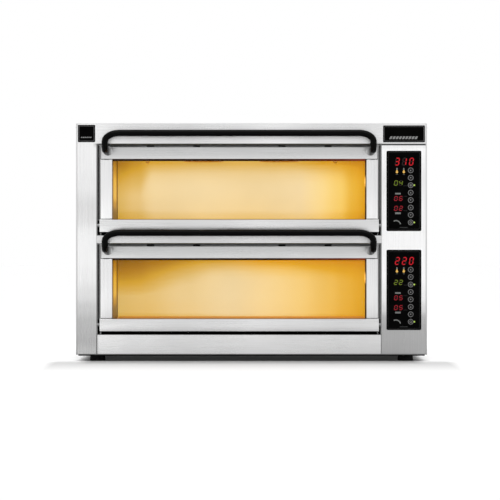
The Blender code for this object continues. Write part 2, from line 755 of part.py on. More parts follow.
def control_board():
    """One board behind both panels, with its transformer and relays on the back."""
    board_back = BOARD_Y + BOARD_THICKNESS
    root = board_back - BOARD_THICKNESS / 2
    (left, bottom), (right, top) = BOARD_LOW, BOARD_HIGH
    parts = [((left, BOARD_Y, bottom), (right, board_back, top))]
    left, right, bottom, top, depth = TRANSFORMER
    parts.append(((left, root, bottom), (right, board_back + depth, top)))
    left, right, height, depth = RELAY
    for i in range(RELAYS):
        z = RELAY_FIRST_Z + RELAY_PITCH * i
        parts.append(((left, root, z), (right, board_back + depth, z + height)))
    fused("control_board", parts, "circuit_board")


# Fan and gland

def fan():
    back = BACK - SHEET - 0.0005
    front = back - FAN_DEPTH
    half = FAN_SIDE / 2
    frame = block(
        "fan_frame", (SERVICE_X - half, front, FAN_Z - half), (SERVICE_X + half, back, FAN_Z + half),
        "black_plastic", edge=0.0008,
    )
    bore = ((SERVICE_X, front - 0.005, FAN_Z), (SERVICE_X, back + 0.005, FAN_Z), FAN_BORE)
    cut(frame, rods_cutter("fan_bore", [bore], 32))
    strut, plate_front = 0.003, back - 0.004
    reach = FAN_BORE + 0.001
    for name, wide, tall, inset in (("level", reach, strut, 0.0004), ("upright", strut, reach, 0.0008)):
        low = (SERVICE_X - wide, plate_front + inset, FAN_Z - tall)
        high = (SERVICE_X + wide, back - inset, FAN_Z + tall)
        join(frame, block(f"fan_strut_{name}", low, high))
    motor = ((SERVICE_X, plate_front - 0.001, FAN_Z), (SERVICE_X, back - 0.0013, FAN_Z), FAN_HUB)
    join(frame, rods_cutter("fan_motor", [motor]))

    rotor_back, rotor_front = plate_front - 0.0018, front + 0.0015
    middle = (rotor_front + rotor_back) / 2
    half_depth = (rotor_back - rotor_front) / 2
    bm = bmesh.new()
    add_rod(bm, (0, -half_depth, 0), (0, half_depth, 0), FAN_HUB)
    rotor = place("fan_rotor", mesh_from("fan_rotor", bm), "black_plastic", (SERVICE_X, middle, FAN_Z))
    bm = bmesh.new()
    length = FAN_BORE - 0.0015 - FAN_HUB * 0.9
    size = Matrix.Diagonal((length, 0.0018, 0.018, 1))
    for i in range(FAN_BLADES):
        around = Matrix.Rotation(2 * math.pi * i / FAN_BLADES, 4, "Y")
        reach = Matrix.Translation((FAN_HUB * 0.9 + length / 2, 0, 0))
        pitch = Matrix.Rotation(math.radians(50), 4, "X")
        bmesh.ops.create_cube(bm, size=1, matrix=around @ reach @ pitch @ size)
    blades = place("fan_blades", mesh_from("fan_blades", bm))
    blades.location = rotor.location
    join(rotor, blades)


def cable_gland():
    """A nut inside, a neck through the rear panel, and a dome nut outside with its cord hole."""
    nut, hole = 0.016, 0.005
    inside = -SHEET - GAP
    profile = (
        (hole, GLAND_PROJECTION - 0.003), (hole + 0.003, GLAND_PROJECTION), (nut * 0.65, GLAND_PROJECTION),
        (nut, GLAND_PROJECTION * 0.6), (nut, GAP), (GLAND_NECK, GAP), (GLAND_NECK, inside),
        (nut, inside), (nut, inside - 0.006), (hole, inside - 0.006), (hole, GLAND_PROJECTION - 0.003),
    )
    turned("cable_gland", profile, (SERVICE_X, BACK, GLAND_Z), (0, 1, 0), "black_plastic")


floor_and_feet()
side_panels()
rear_panel()
block(
    "top_cover", (-HALF_WIDTH, FRONT, HEIGHT - FOLD), (HALF_WIDTH, BACK, HEIGHT), "stainless",
)
front_panels()
badges()
hinge_rails()
insulation()
for deck_name, door_bottom in DECKS.items():
    chamber(deck_name, door_bottom)
    door(deck_name, door_bottom)
    controls(deck_name, door_bottom)
control_board()
fan()
cable_gland()
bpy.context.view_layer.update()
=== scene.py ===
"""Looks for the two-deck countertop pizza oven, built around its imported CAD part.

Metres, +Z up, front towards -Y. Places come from the CAD nodes' boxes.
"""
import math
from itertools import product

import bmesh
import bpy
from mathutils import Matrix, Vector


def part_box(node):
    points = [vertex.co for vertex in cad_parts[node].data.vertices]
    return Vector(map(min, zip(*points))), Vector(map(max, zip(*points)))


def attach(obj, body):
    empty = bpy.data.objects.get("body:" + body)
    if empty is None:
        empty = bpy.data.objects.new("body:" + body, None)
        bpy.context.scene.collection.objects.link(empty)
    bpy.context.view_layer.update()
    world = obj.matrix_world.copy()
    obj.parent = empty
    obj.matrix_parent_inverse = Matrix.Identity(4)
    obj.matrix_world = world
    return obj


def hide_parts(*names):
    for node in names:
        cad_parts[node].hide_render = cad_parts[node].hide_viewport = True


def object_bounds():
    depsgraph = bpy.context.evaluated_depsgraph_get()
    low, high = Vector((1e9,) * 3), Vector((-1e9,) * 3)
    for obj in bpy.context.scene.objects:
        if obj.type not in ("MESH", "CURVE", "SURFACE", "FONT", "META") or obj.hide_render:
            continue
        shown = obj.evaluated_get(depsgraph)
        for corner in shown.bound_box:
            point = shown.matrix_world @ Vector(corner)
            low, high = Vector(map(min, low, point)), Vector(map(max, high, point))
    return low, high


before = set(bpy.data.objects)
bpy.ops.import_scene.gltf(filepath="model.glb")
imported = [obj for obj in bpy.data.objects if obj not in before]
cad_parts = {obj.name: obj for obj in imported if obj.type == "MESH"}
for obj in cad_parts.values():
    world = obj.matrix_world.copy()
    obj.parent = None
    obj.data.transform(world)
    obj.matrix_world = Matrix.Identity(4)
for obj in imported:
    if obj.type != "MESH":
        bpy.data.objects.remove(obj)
cad_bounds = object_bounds()

# ---- sizes

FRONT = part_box("control_fascia")[0].y
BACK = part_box("rear_panel")[1].y
SHELL_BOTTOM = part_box("control_fascia")[0].z
BAY_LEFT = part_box("base_front_panel")[0].x
BAY_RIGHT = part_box("base_front_panel")[1].x
HEADER_BOTTOM = 0.6185
SHEET = 0.0015
LIP = 0.0004                        # rounding of a folded sheet's edge
PRINT = 0.00025                     # thickness of printed marks
HANDLE_RADIUS = 0.0092
HANDLE_FOOT_DROP = 0.0095           # where the legs meet the door, below its top edge
PAD_INWARD = 0.0190                 # a pad's reach from its leg's middle towards the other leg
PAD_OUTWARD = 0.0056
PAD_DROP = 0.0149
PAD_THICKNESS = 0.0030
CABINET = "cabinet"                 # the CAD body that stands still
SINK = 0.0001                       # how far a mounted detail goes into the face that carries it
DOOR_WALL = 0.002
DOOR_SEAM = 0.0016                  # between a stile's end and the rail beside it
NOISE_LOW, NOISE_HIGH = 0.3, 0.7    # nearly all of a noise's values lie between these

CAMERA_DISTANCE = 10.0              # in front of the cabinet's face
CAMERA_X = -0.0043
CAMERA_Z = 0.3162
VIEW_WIDTH = 1.4245                 # what the camera sees across, at the cabinet's face
SENSOR = 36.0
CLIP_OFFSETS = (0.122, 0.254)       # of the slots' clips, from the doors' middle
LOUVRE_CENTRES = (-0.30, 0.0, 0.25)
LOUVRE_REACH = 0.063                # half a hood's length
LOUVRE_ROWS = 4
LOUVRE_FIRST_Z = 0.600
LOUVRE_PITCH = 0.012
FAN_HOODS = 7
FAN_SLOT_PITCH = 0.010
FAN_HOOD_REACH = 0.037
ROOM_FRONT, ROOM_BACK = 1.0, 0.5    # the white surround's strength behind the camera and behind the oven
FLOOR_GLOW = 0.12
FLOOR_SHADE = (                     # metres in front of the oven, share of the floor's brightness left by the painted shadow
    (0.0, 0.20), (0.04, 0.29), (0.13, 0.35), (0.22, 0.46), (0.31, 0.56), (0.60, 0.69), (0.84, 0.76),
    (1.2, 0.88), (1.5, 1.0),
)
FLOOR_SIDE_SHADE = (                # the same beside the oven, where the painted shadow only falls in front
    (-0.01, 1.12), (0.0, 0.84), (0.045, 0.68), (0.13, 0.57), (0.22, 0.55), (0.31, 0.57), (0.49, 0.64),
    (0.66, 0.70), (0.84, 0.76), (1.2, 0.88), (1.5, 1.0),
)
FLOOR_SIDE = (0.457, 0.492)         # from the painted shade under the oven to the painted shade beside it
FLOOR_SHADE_END = (0.548, 0.600)    # where the painted shade beside the oven ends


class Deck:
    """One baking deck: its door's outline, window and bodies, read from the CAD."""

    def __init__(self, name):
        self.name = name
        self.body = f"{name}_door"
        low, high = self.box("door_frame")
        pane_low, pane_high = self.box("outer_glass")
        pane_fit, rail_step = 0.0004, 0.003
        self.bottom, self.top = low.z, high.z
        self.rail_left, self.rail_right = low.x, high.x
        self.left, self.right = low.x + rail_step, high.x - rail_step
        self.window_left, self.window_right = pane_low.x - pane_fit, pane_high.x + pane_fit
        self.window_bottom, self.window_top = pane_low.z - pane_fit, pane_high.z + pane_fit
        self.centre_x = (self.left + self.right) / 2
        self.liner_low, self.liner_high = self.box("chamber_liner")

    def box(self, part):
        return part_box(f"{self.name}_{part}")


DECKS = [Deck("lower"), Deck("upper")]


# ---- colours and node materials

def linear(level):
    """A linear value from an sRGB level of 0 to 255."""
    share = level / 255
    return share / 12.92 if share < 0.0405 else ((share + 0.055) / 1.055) ** 2.4


def rgb(red, green, blue):
    return linear(red), linear(green), linear(blue), 1.0


def grey(level):
    return rgb(level, level, level)


SOCKETS = {
    "colour": "Base Color", "metal": "Metallic", "roughness": "Roughness", "normal": "Normal", "ior": "IOR",
    "specular": "Specular IOR Level", "transmission": "Transmission Weight", "coat": "Coat Weight",
    "coat_roughness": "Coat Roughness", "glow": "Emission Color", "glow_strength": "Emission Strength",
}


class Nodes:
    """Adds nodes to a tree by short calls. A value is a number, a colour or another node's output."""

    def __init__(self, tree):
        self.tree = tree

    def feed(self, socket, value):
        if isinstance(value, bpy.types.NodeSocket):
            self.tree.links.new(value, socket)
        else:
            socket.default_value = value

    def node(self, kind, inputs=None, **settings):
        made = self.tree.nodes.new("ShaderNode" + kind)
        for key, value in settings.items():
            setattr(made, key, value)
        for key, value in (inputs or {}).items():
            self.feed(made.inputs[key], value)
        return made

    def math(self, operation, a, b=0.0):
        return self.node("Math", {0: a, 1: b}, operation=operation).outputs[0]

    def span(self, value, start, end, low=0.0, high=1.0):
        """value from start to end, mapped to low to high and held there."""
        inputs = {"Value": value, "From Min": start, "From Max": end, "To Min": low, "To Max": high}
        return self.node("MapRange", inputs).outputs["Result"]


class Finish(Nodes):
    """One node material. Plain numbers go straight on the shader's sockets."""

    def __init__(self, name, **sockets):
        self.material = bpy.data.materials.new(name)
        self.material.use_nodes = True
        super().__init__(self.material.node_tree)
        self.shader = self.tree.nodes["Principled BSDF"]
        self.place = self.node("TexCoord").outputs["Object"]
        self.x, self.y, self.z = self.node("SeparateXYZ", {0: self.place}).outputs
        self.set(**sockets)

    def set(self, **sockets):
        for name, value in sockets.items():
            self.feed(self.shader.inputs[SOCKETS[name]], value)

    def noise(self, scale, detail=3.0, stretch=(1, 1, 1)):
        """Noise with so many spots per metre along each axis: scale times stretch."""
        spread = self.node("VectorMath", {0: self.place, 1: stretch}, operation="MULTIPLY").outputs[0]
        return self.node("TexNoise", {"Vector": spread, "Scale": scale, "Detail": detail}).outputs[0]

    def ramp(self, value, stops, smooth=True):
        """A colour by value: stops are (value, colour), in order."""
        first, last = stops[0][0], stops[-1][0]
        ramp = self.node("ValToRGB", {0: self.span(value, first, last)})
        bands = ramp.color_ramp
        bands.interpolation = "EASE" if smooth else "LINEAR"
        for _ in stops[2:]:
            bands.elements.new(0.5)
        for band, (at, colour) in zip(bands.elements, stops):
            band.position = (at - first) / (last - first)
        for band, (at, colour) in zip(bands.elements, stops):
            band.color = colour
        return ramp.outputs[0]

    def vary(self, noise, low, high):
        """From low to high with a noise: two numbers or two colours."""
        if isinstance(low, tuple):
            return self.ramp(noise, [(NOISE_LOW, low), (NOISE_HIGH, high)])
        return self.span(noise, NOISE_LOW, NOISE_HIGH, low, high)

    def mix(self, share, a, b, blend="MIX"):
        mixer = self.node("Mix", data_type="RGBA", blend_type=blend, clamp_result=False)
        self.feed(mixer.inputs[0], share)
        self.feed(mixer.inputs[6], a)
        self.feed(mixer.inputs[7], b)
        return mixer.outputs[2]

    def times(self, a, b):
        return self.mix(1.0, a, b, "MULTIPLY")

    def bump(self, height, strength, depth):
        inputs = {"Height": height, "Strength": strength, "Distance": depth}
        return self.node("Bump", inputs).outputs["Normal"]


GRAIN = {"x": (6, 260, 1400), "y": (260, 6, 1400), "z": (1400, 260, 6)}


def brushed(name, along, tone, roughness=0.30):
    """Brushed stainless sheet. tone(finish) gives the sheet's colour, and the grain varies it a little.

    along is the grain's axis, or a function that gives the grain itself.
    """
    finish = Finish(name, metal=1.0)
    grain = along(finish) if callable(along) else finish.noise(1.0, 4.0, GRAIN[along])
    smudge = finish.noise(7.0, 2.0)
    shade = finish.vary(grain, (0.93, 0.93, 0.93, 1), (1.04, 1.04, 1.045, 1))
    finish.set(colour=finish.times(tone(finish), shade))
    streaks = finish.vary(grain, roughness - 0.05, roughness + 0.05)
    finish.set(roughness=finish.math("ADD", streaks, finish.span(smudge, 0.35, 0.65, -0.03, 0.03)))
    finish.set(normal=finish.bump(grain, 0.12, 0.0002))
    return finish.material


def greys(stops):
    """Grey levels as the colours of a ramp."""
    return [(at, grey(level)) for at, level in stops]


def shares(stops):
    """Shares as the colours of a ramp."""
    return [(at, (share, share, share, 1)) for at, share in stops]


def by(axis, *stops):
    """A tone that follows one axis: stops are (metres, grey level)."""
    return lambda finish: finish.ramp(getattr(finish, axis), greys(stops))


def plain(level):
    """An even tone with faint clouds."""
    return lambda finish: finish.vary(finish.noise(3.0, 2.0), grey(level - 4), grey(level + 4))


def spread(low, high, levels):
    """Grey levels at even steps from low to high."""
    step = (high - low) / (len(levels) - 1)
    return [(low + step * i, level) for i, level in enumerate(levels)]


def mottled(name, scale, low, high, rough=None, detail=2.0, stretch=(1, 1, 1), **sockets):
    """A finish whose colour, and roughness if rough is given, vary with a noise. Gives the noise too."""
    finish = Finish(name, **sockets)
    noise = finish.noise(scale, detail, stretch)
    finish.set(colour=finish.vary(noise, low, high))
    if rough:
        finish.set(roughness=finish.vary(noise, *rough))
    return finish, noise


# ---- mesh pieces

def piece(name, bm, finish, body, smooth=False):
    """A mesh as a named object that rides on a CAD body."""
    bmesh.ops.recalc_face_normals(bm, faces=bm.faces)
    mesh = bpy.data.meshes.new(name)
    bm.to_mesh(mesh)
    bm.free()
    if smooth:
        mesh.shade_smooth()
        mesh.set_sharp_from_angle(angle=math.radians(35))
    mesh.materials.append(finish)
    thing = bpy.data.objects.new(name, mesh)
    bpy.context.scene.collection.objects.link(thing)
    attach(thing, body)
    return thing


def add_box(bm, low, high, edge=0.0, steps=2):
    """A box between two corners, with rounded edges."""
    low, high = Vector(low), Vector(high)
    size = high - low
    shape = Matrix.Translation((low + high) / 2) @ Matrix.Diagonal((*size, 1))
    made = bmesh.ops.create_cube(bm, size=1.0, matrix=shape)["verts"]
    if edge:
        edges = list({e for v in made for e in v.link_edges})
        bmesh.ops.bevel(bm, geom=edges, offset=edge, segments=steps, profile=0.5, affect="EDGES")


def add_prism(bm, outline, near, far, edge=0.0):
    """An outline of (x, z) points, from y = near back to y = far, with its near edge rounded."""
    front = [bm.verts.new((x, near, z)) for x, z in outline]
    back = [bm.verts.new((x, far, z)) for x, z in outline]
    face = bm.faces.new(front)
    bm.faces.new(list(reversed(back)))
    count = len(outline)
    for i in range(count):
        j = (i + 1) % count
        bm.faces.new((front[j], front[i], back[i], back[j]))
    if edge:
        bmesh.ops.bevel(bm, geom=list(face.edges), offset=edge, segments=2, profile=0.5, affect="EDGES")


def add_lofted(bm, rings):
    """A closed body through rings of as many vertices each."""
    count = len(rings[0])
    for near, far in zip(rings, rings[1:]):
        for i in range(count):
            j = (i + 1) % count
            bm.faces.new((near[i], near[j], far[j], far[i]))
    bm.faces.new(list(reversed(rings[0])))
    bm.faces.new(rings[-1])


def add_turned(bm, profile, at, axis, sides=24):
    """A closed body of revolution: profile is (distance along axis, radius) from one end to the other."""
    turn = Vector((0, 0, 1)).rotation_difference(Vector(axis)).to_matrix().to_4x4()
    place = Matrix.Translation(at) @ turn
    rings = []
    for along, radius in profile:
        angles = [2 * math.pi * i / sides for i in range(sides)]
        points = [Vector((radius * math.cos(t), radius * math.sin(t), along)) for t in angles]
        rings.append([bm.verts.new(place @ point) for point in points])
    add_lofted(bm, rings)


def add_band(bm, outer, inner, near, far):
    """A closed loop between two outlines of (x, z) points with as many points each."""
    loops = [
        [bm.verts.new((x, y, z)) for x, z in outline]
        for y, outline in ((near, outer), (near, inner), (far, inner), (far, outer))
    ]
    count = len(outer)
    for k, loop in enumerate(loops):
        after = loops[(k + 1) % 4]
        for i in range(count):
            j = (i + 1) % count
            bm.faces.new((loop[i], loop[j], after[j], after[i]))


def circle(x, z, radius, sides=24, start=0.0):
    turns = [start + 2 * math.pi * i / sides for i in range(sides)]
    return [(x + radius * math.cos(t), z + radius * math.sin(t)) for t in turns]


def rounded(left, right, bottom, top, corner, steps=4):
    """A rectangle with round corners, anticlockwise seen from the front."""
    corners = ((right, top, 0), (left, top, 1), (left, bottom, 2), (right, bottom, 3))
    points = []
    for x, z, quarter in corners:
        centre_x = x - corner if x == right else x + corner
        centre_z = z - corner if z == top else z + corner
        for i in range(steps + 1):
            turn = math.pi / 2 * (quarter + i / steps)
            points.append((centre_x + corner * math.cos(turn), centre_z + corner * math.sin(turn)))
    return points


def inset(low, high, margin, corner):
    """The outline of a box's front, moved in by a margin and with round corners."""
    return rounded(low.x + margin, high.x - margin, low.z + margin, high.z - margin, corner)


def add_ring(bm, x, z, outer, inner, near, far, sides=24):
    add_band(bm, circle(x, z, outer, sides), circle(x, z, inner, sides), near, far)


def box_piece(name, boxes, finish, edge=LIP, body=CABINET, smooth=True):
    """One piece made of boxes, each given by its low and high corners."""
    bm = bmesh.new()
    for low, high in boxes:
        add_box(bm, low, high, edge)
    return piece(name, bm, finish, body, smooth)


def paint(finish, *nodes):
    """Gives CAD nodes a finish."""
    for name in nodes:
        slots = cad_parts[name].data.materials
        slots.clear()
        slots.append(finish)


# ---- stainless cabinet

column_painted_shade = by(                   # painted shade: bright at eye level and darker towards the floor
    "z", (0.020, 197), (0.060, 178), (0.110, 181), (0.150, 197), (0.190, 217), (0.240, 230), (0.290, 236),
    (0.360, 236), (0.410, 219), (0.440, 216), (0.500, 230), (0.560, 234), (0.600, 236), (0.660, 234),
)
fascia_painted_shade = by(                   # the same painted shade, with the turned-in edge under the header painted dark at the top
    "z", (0.020, 177), (0.060, 173), (0.095, 170), (0.120, 176), (0.150, 212), (0.180, 231), (0.250, 242),
    (0.420, 239), (0.520, 233), (0.560, 240), (0.600, 245), (0.6148, 232), (0.6156, 66),
)
# painted reflection: the header's brightness at even steps across
header_painted_reflection = by("x", *spread(-0.44, 0.44, (234, 222, 217, 226, 236, 224, 221, 225)))


def front_frame_tone(finish):
    """The column's tone below and the header's above, meeting in the corner without a seam, with painted
    shade along the header's lower edge, darker over the bay.
    """
    right_of_column = finish.math(
        "MULTIPLY", finish.span(finish.x, BAY_LEFT - 0.012, BAY_LEFT + 0.004),
        finish.span(finish.z, HEADER_BOTTOM - 0.012, HEADER_BOTTOM),
    )
    header_edge_shade = finish.span(finish.z, HEADER_BOTTOM + 0.0004, HEADER_BOTTOM + 0.0024)
    above_bay = finish.span(finish.x, BAY_RIGHT + 0.004, BAY_RIGHT)
    shaded = finish.mix(above_bay, grey(200), grey(150))
    header = finish.mix(header_edge_shade, shaded, header_painted_reflection(finish))
    return finish.mix(right_of_column, column_painted_shade(finish), header)


def folded(tone, returns=None):
    """A tone on the face, and painted shade on the returns behind it, where little light reaches."""
    def tone_and_returns(finish):
        behind = finish.span(finish.y, FRONT + 0.0030, FRONT + 0.0050)
        return finish.mix(behind, tone(finish), returns(finish) if returns else grey(30))
    return tone_and_returns


def front_frame_grain(finish):
    """Upright grain in the column, level grain in the header."""
    beside = finish.span(finish.x, BAY_LEFT - 0.002, BAY_LEFT + 0.001)
    upright, level = (finish.noise(1.0, 4.0, GRAIN[axis]) for axis in "zx")
    return finish.mix(beside, upright, level)


def roof_painted_highlight(finish):
    """The roof, with a painted highlight along its front edge."""
    edge = finish.span(finish.y, FRONT + 0.001, FRONT + 0.003)
    return finish.mix(edge, grey(244), plain(205)(finish))


def cabinet():
    """The CAD's sheet-metal panels, each with its own grain and tone; most tones carry painted shade,
    reflection or highlight.
    """
    # painted reflection: the divider's brightness at even steps across
    divider = spread(BAY_LEFT, BAY_RIGHT, (217, 210, 206, 207, 213, 209, 205, 209))
    # painted shade in the seams at the base panel's ends, and painted reflection across its face
    edge_left, edge_right = BAY_LEFT + 0.0026, BAY_RIGHT - 0.0020
    levels = (230, 223, 218, 217, 225, 219, 215, 218)
    face = spread(edge_left + 0.0008, edge_right, levels)
    base = [(BAY_LEFT, 10), (edge_left, 52), *face, (BAY_RIGHT, 120)]
    paint(brushed("frame_steel", front_frame_grain, folded(front_frame_tone)), "front_frame")
    paint(brushed("fascia_steel", "z", folded(fascia_painted_shade)), "control_fascia")
    paint(brushed("divider_steel", "x", folded(by("x", *divider))), "divider_panel")
    paint(brushed("base_steel", "x", folded(by("x", *base))), "base_front_panel")
    # painted shade: the side panels darker towards the floor
    sides = by("z", (0.02, 172), (0.12, 182), (0.24, 200), (0.62, 208))
    paint(brushed("side_steel", "z", sides, 0.34), "left_side_panel", "right_side_panel")
    paint(brushed("rear_steel", "x", plain(196), 0.38), "rear_panel")
    paint(brushed("roof_steel", "y", roof_painted_highlight, 0.32), "top_cover")
    paint(brushed("tray_steel", "x", plain(120), 0.45), "base_tray")
    paint(brushed("rail_steel", "z", plain(150), 0.18), "left_hinge_rail", "right_hinge_rail")


# ---- studio

def stand(name, data, location, turn):
    """Puts a light or camera in the scene."""
    thing = bpy.data.objects.new(name, data)
    thing.location = location
    thing.rotation_euler = turn
    bpy.context.scene.collection.objects.link(thing)
    return thing


def softbox(name, location, target, size, power):
    light = bpy.data.lights.new(name, "AREA")
    light.shape = "RECTANGLE"
    light.size, light.size_y = size
    light.energy = power
    aim = (Vector(target) - Vector(location)).to_track_quat("-Z", "Y").to_euler()
    stand(name, light, location, aim)


def white_room(scene):
    """A white surround, brightest behind the camera and dimmer behind the oven, seen as plain white."""
    world = bpy.data.worlds.new("white_room")
    world.use_nodes = True
    room = Nodes(world.node_tree)
    direction = room.node("SeparateXYZ", {0: room.node("TexCoord").outputs["Generated"]})
    glow = room.span(direction.outputs["Y"], -1.0, 1.0, ROOM_FRONT, ROOM_BACK)
    seen = room.node("LightPath").outputs["Is Camera Ray"]
    background = room.tree.nodes["Background"]
    room.feed(background.inputs["Color"], (1, 1, 1, 1))
    room.feed(background.inputs["Strength"], room.math("MAXIMUM", glow, seen))
    scene.world = world


def pale_floor(scene):
    """A wide white floor with a painted soft shadow gathered round the oven's foot."""
    finish = Finish("pale_floor", roughness=0.7, specular=0.1, glow_strength=FLOOR_GLOW)
    ahead = finish.math("SUBTRACT", FRONT, finish.y)
    aside = finish.math("ABSOLUTE", finish.x)
    under = finish.ramp(ahead, shares(FLOOR_SHADE), smooth=False)
    beside = finish.ramp(ahead, shares(FLOOR_SIDE_SHADE), smooth=False)
    shade = finish.mix(finish.span(aside, *FLOOR_SIDE), under, beside)
    behind = finish.span(finish.y, BACK - 0.01, BACK + 0.12)
    clear = finish.math("MAXIMUM", finish.span(aside, *FLOOR_SHADE_END), behind)
    shade = finish.mix(clear, shade, (1, 1, 1, 1))
    finish.set(colour=finish.times(grey(248), shade), glow=shade)
    reach = 60
    bm = bmesh.new()
    corners = ((-1, -1), (1, -1), (1, 1), (-1, 1))
    bm.faces.new([bm.verts.new((x * reach, y * reach, 0)) for x, y in corners])
    mesh = bpy.data.meshes.new("floor")
    bm.to_mesh(mesh)
    bm.free()
    mesh.materials.append(finish.material)
    floor = bpy.data.objects.new("floor", mesh)
    scene.collection.objects.link(floor)


def studio():
    """A level camera far in front of a white room, and soft light from above and both sides."""
    scene = bpy.context.scene
    scene.view_settings.view_transform = "Standard"
    scene.view_settings.look = "None"

    view = bpy.data.cameras.new("camera")
    view.sensor_width = SENSOR
    view.lens = SENSOR * CAMERA_DISTANCE / VIEW_WIDTH
    view.clip_end = 200
    place = (CAMERA_X, FRONT - CAMERA_DISTANCE, CAMERA_Z)
    scene.camera = stand("camera", view, place, (math.pi / 2, 0, 0))

    white_room(scene)
    pale_floor(scene)
    sky = bpy.data.lights.new("overhead", "SUN")
    sky.energy = 0.7
    sky.angle = math.radians(80)
    stand("overhead", sky, (0, 0, 0), (math.radians(14), 0, 0))
    softbox("left_box", (-2.8, -1.4, 1.7), (-0.3, 0, 0.3), (2.2, 2.2), 16)
    softbox("right_box", (2.8, -1.0, 1.9), (0.3, 0, 0.3), (2.2, 2.2), 12)
    softbox("bar_box", (0, -1.1, 3.0), (0, FRONT, 0.6), (3.0, 0.5), 30)


# ---- doors

def door_member(deck, part, left, right, bottom, top, finish, walled):
    """A rail or stile: a box from the face to the inner pane, and walls from there to the door's back.

    walled names the sides with a wall.
    """
    pocket = deck.box("inner_glass")[0].y - 0.0003
    back = deck.box("door_frame")[1].y
    walls = {
        "bottom": (left, right, bottom, bottom + DOOR_WALL), "top": (left, right, top - DOOR_WALL, top),
        "left": (left, left + DOOR_WALL, bottom, top), "right": (right - DOOR_WALL, right, bottom, top),
    }
    bm = bmesh.new()
    add_box(bm, (left, FRONT, bottom), (right, pocket, top), 0.0008, 3)
    for side in walled:
        x0, x1, z0, z1 = walls[side]
        add_box(bm, (x0, pocket - 0.002, z0), (x1, back, z1), LIP)
    return piece(f"{deck.name}_{part}", bm, finish, deck.body, smooth=True)


def rail_painted_shade(deck):
    """The top rail's tone, with painted shade: dark along the window and along its top edge, and at both
    ends, beside the gaps.
    """
    upward = by("z", (deck.window_top, 20), (deck.window_top + 0.0009, 202), (deck.window_top + 0.014, 197),
                (deck.top - 0.003, 196), (deck.top, 150))
    ends = (deck.left, 0.22), (deck.left + 0.003, 1.0), (deck.right - 0.003, 1.0), (deck.right, 0.22)
    return lambda finish: finish.times(upward(finish), finish.ramp(finish.x, shares(ends)))


def sill_painted_reflection(deck):
    """The bottom rail's tone, a painted reflection across it, with a thin brown line along its top edge as
    painted reflection of the chamber.
    """
    across = by("x", *spread(deck.rail_left, deck.rail_right, (221, 217, 213, 215, 223, 218, 211, 214)))

    def tone(finish):
        top_edge = finish.span(finish.z, deck.window_bottom - 0.0014, deck.window_bottom - 0.0004)
        over_window = finish.math("LESS_THAN", finish.x, deck.window_right)
        clear_of_stile = finish.math("GREATER_THAN", finish.x, deck.window_left)
        line = finish.math("MULTIPLY", top_edge, finish.math("MULTIPLY", over_window, clear_of_stile))
        return finish.mix(line, across(finish), rgb(96, 52, 14))
    return tone


def door_finishes(deck):
    """Brushed steel for the top rail, the bottom rail and the stiles.

    Behind the face, painted shade darkens the edges round the window towards the panes, and a dark painted
    line runs along the right stile's inner edge.
    """
    low, high, left, right = deck.window_bottom, deck.window_top, deck.window_left, deck.window_right
    # painted shade: a dark line along the right stile's inner edge
    upright = by("x", (deck.left, 231), (deck.centre_x, 231), (right, 20), (right + 0.0022, 229),
                 (deck.right, 223))
    inner, outer, depth = 50, 160, 0.006
    rail_reveal_shade = by("z", (high, inner), (high + depth, outer))
    sill_reveal_shade = by("z", (low - depth, outer), (low, inner))
    stile_reveal_shade = by("x", (left - depth, outer), (left, inner), (right, inner), (right + depth, outer))
    return (
        brushed(f"{deck.name}_top_rail_steel", "x", folded(rail_painted_shade(deck), rail_reveal_shade)),
        brushed(f"{deck.name}_bottom_rail_steel", "x", folded(sill_painted_reflection(deck), sill_reveal_shade)),
        brushed(f"{deck.name}_stile_steel", "z", folded(upright, stile_reveal_shade)),
    )


def doors():
    """Rails and stiles in place of each door's CAD frame, with a dark backing as painted shade in the seams
    between them.
    """
    shadow, _ = mottled("seam_painted_shade", 800.0, grey(10), grey(22), (0.8, 0.95), 3.0, specular=0.05)
    for deck in DECKS:
        rail, sill, stile = door_finishes(deck)
        low, high, left, right = deck.window_bottom, deck.window_top, deck.window_left, deck.window_right
        stile_low, stile_high = low + DOOR_SEAM, high - DOOR_SEAM
        top_rail = door_member(
            deck, "top_rail", deck.left, deck.right, high, deck.top, rail, ("top", "left", "right"))
        door_member(
            deck, "bottom_rail", deck.rail_left, deck.rail_right, deck.bottom, low, sill,
            ("bottom", "left", "right"))
        door_member(deck, "left_stile", deck.left, left, stile_low, stile_high, stile, ["left"])
        door_member(deck, "right_stile", right, deck.right, stile_low, stile_high, stile, ["right"])
        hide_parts(f"{deck.name}_door_frame")
        sides = (deck.left + DOOR_WALL, left - DOOR_WALL), (right + DOOR_WALL, deck.right - DOOR_WALL)
        backing = [
            ((x0, FRONT + 0.0014, z0), (x1, FRONT + 0.020, z1))
            for z0, z1 in ((low, stile_low), (stile_high, high)) for x0, x1 in sides
        ]
        name = f"{deck.name}_seam_backing"
        box_piece(name, backing, shadow.material, edge=0.0, body=deck.body, smooth=False)


def enamel(deck):
    """Black enamel with a painted red glow along the top towards the right, standing in for the heating
    element's light.
    """
    name = f"{deck.name}_black_enamel"
    finish, _ = mottled(name, 900.0, grey(6), grey(16), (0.45, 0.6), specular=0.15, glow_strength=1.0)
    # painted glow, strongest towards the right
    heat = finish.ramp(finish.x, [
        (-0.399, rgb(30, 10, 0)), (0.05, rgb(34, 12, 0)), (0.14, rgb(64, 22, 8)), (0.24, rgb(96, 34, 14)),
        (deck.window_right - 0.004, rgb(126, 48, 20)), (deck.window_right - 0.001, grey(0)),
    ])
    along_top = finish.span(finish.z, deck.window_top - 0.009, deck.window_top - 0.006)
    finish.set(glow=finish.mix(along_top, grey(0), heat))
    return finish.material


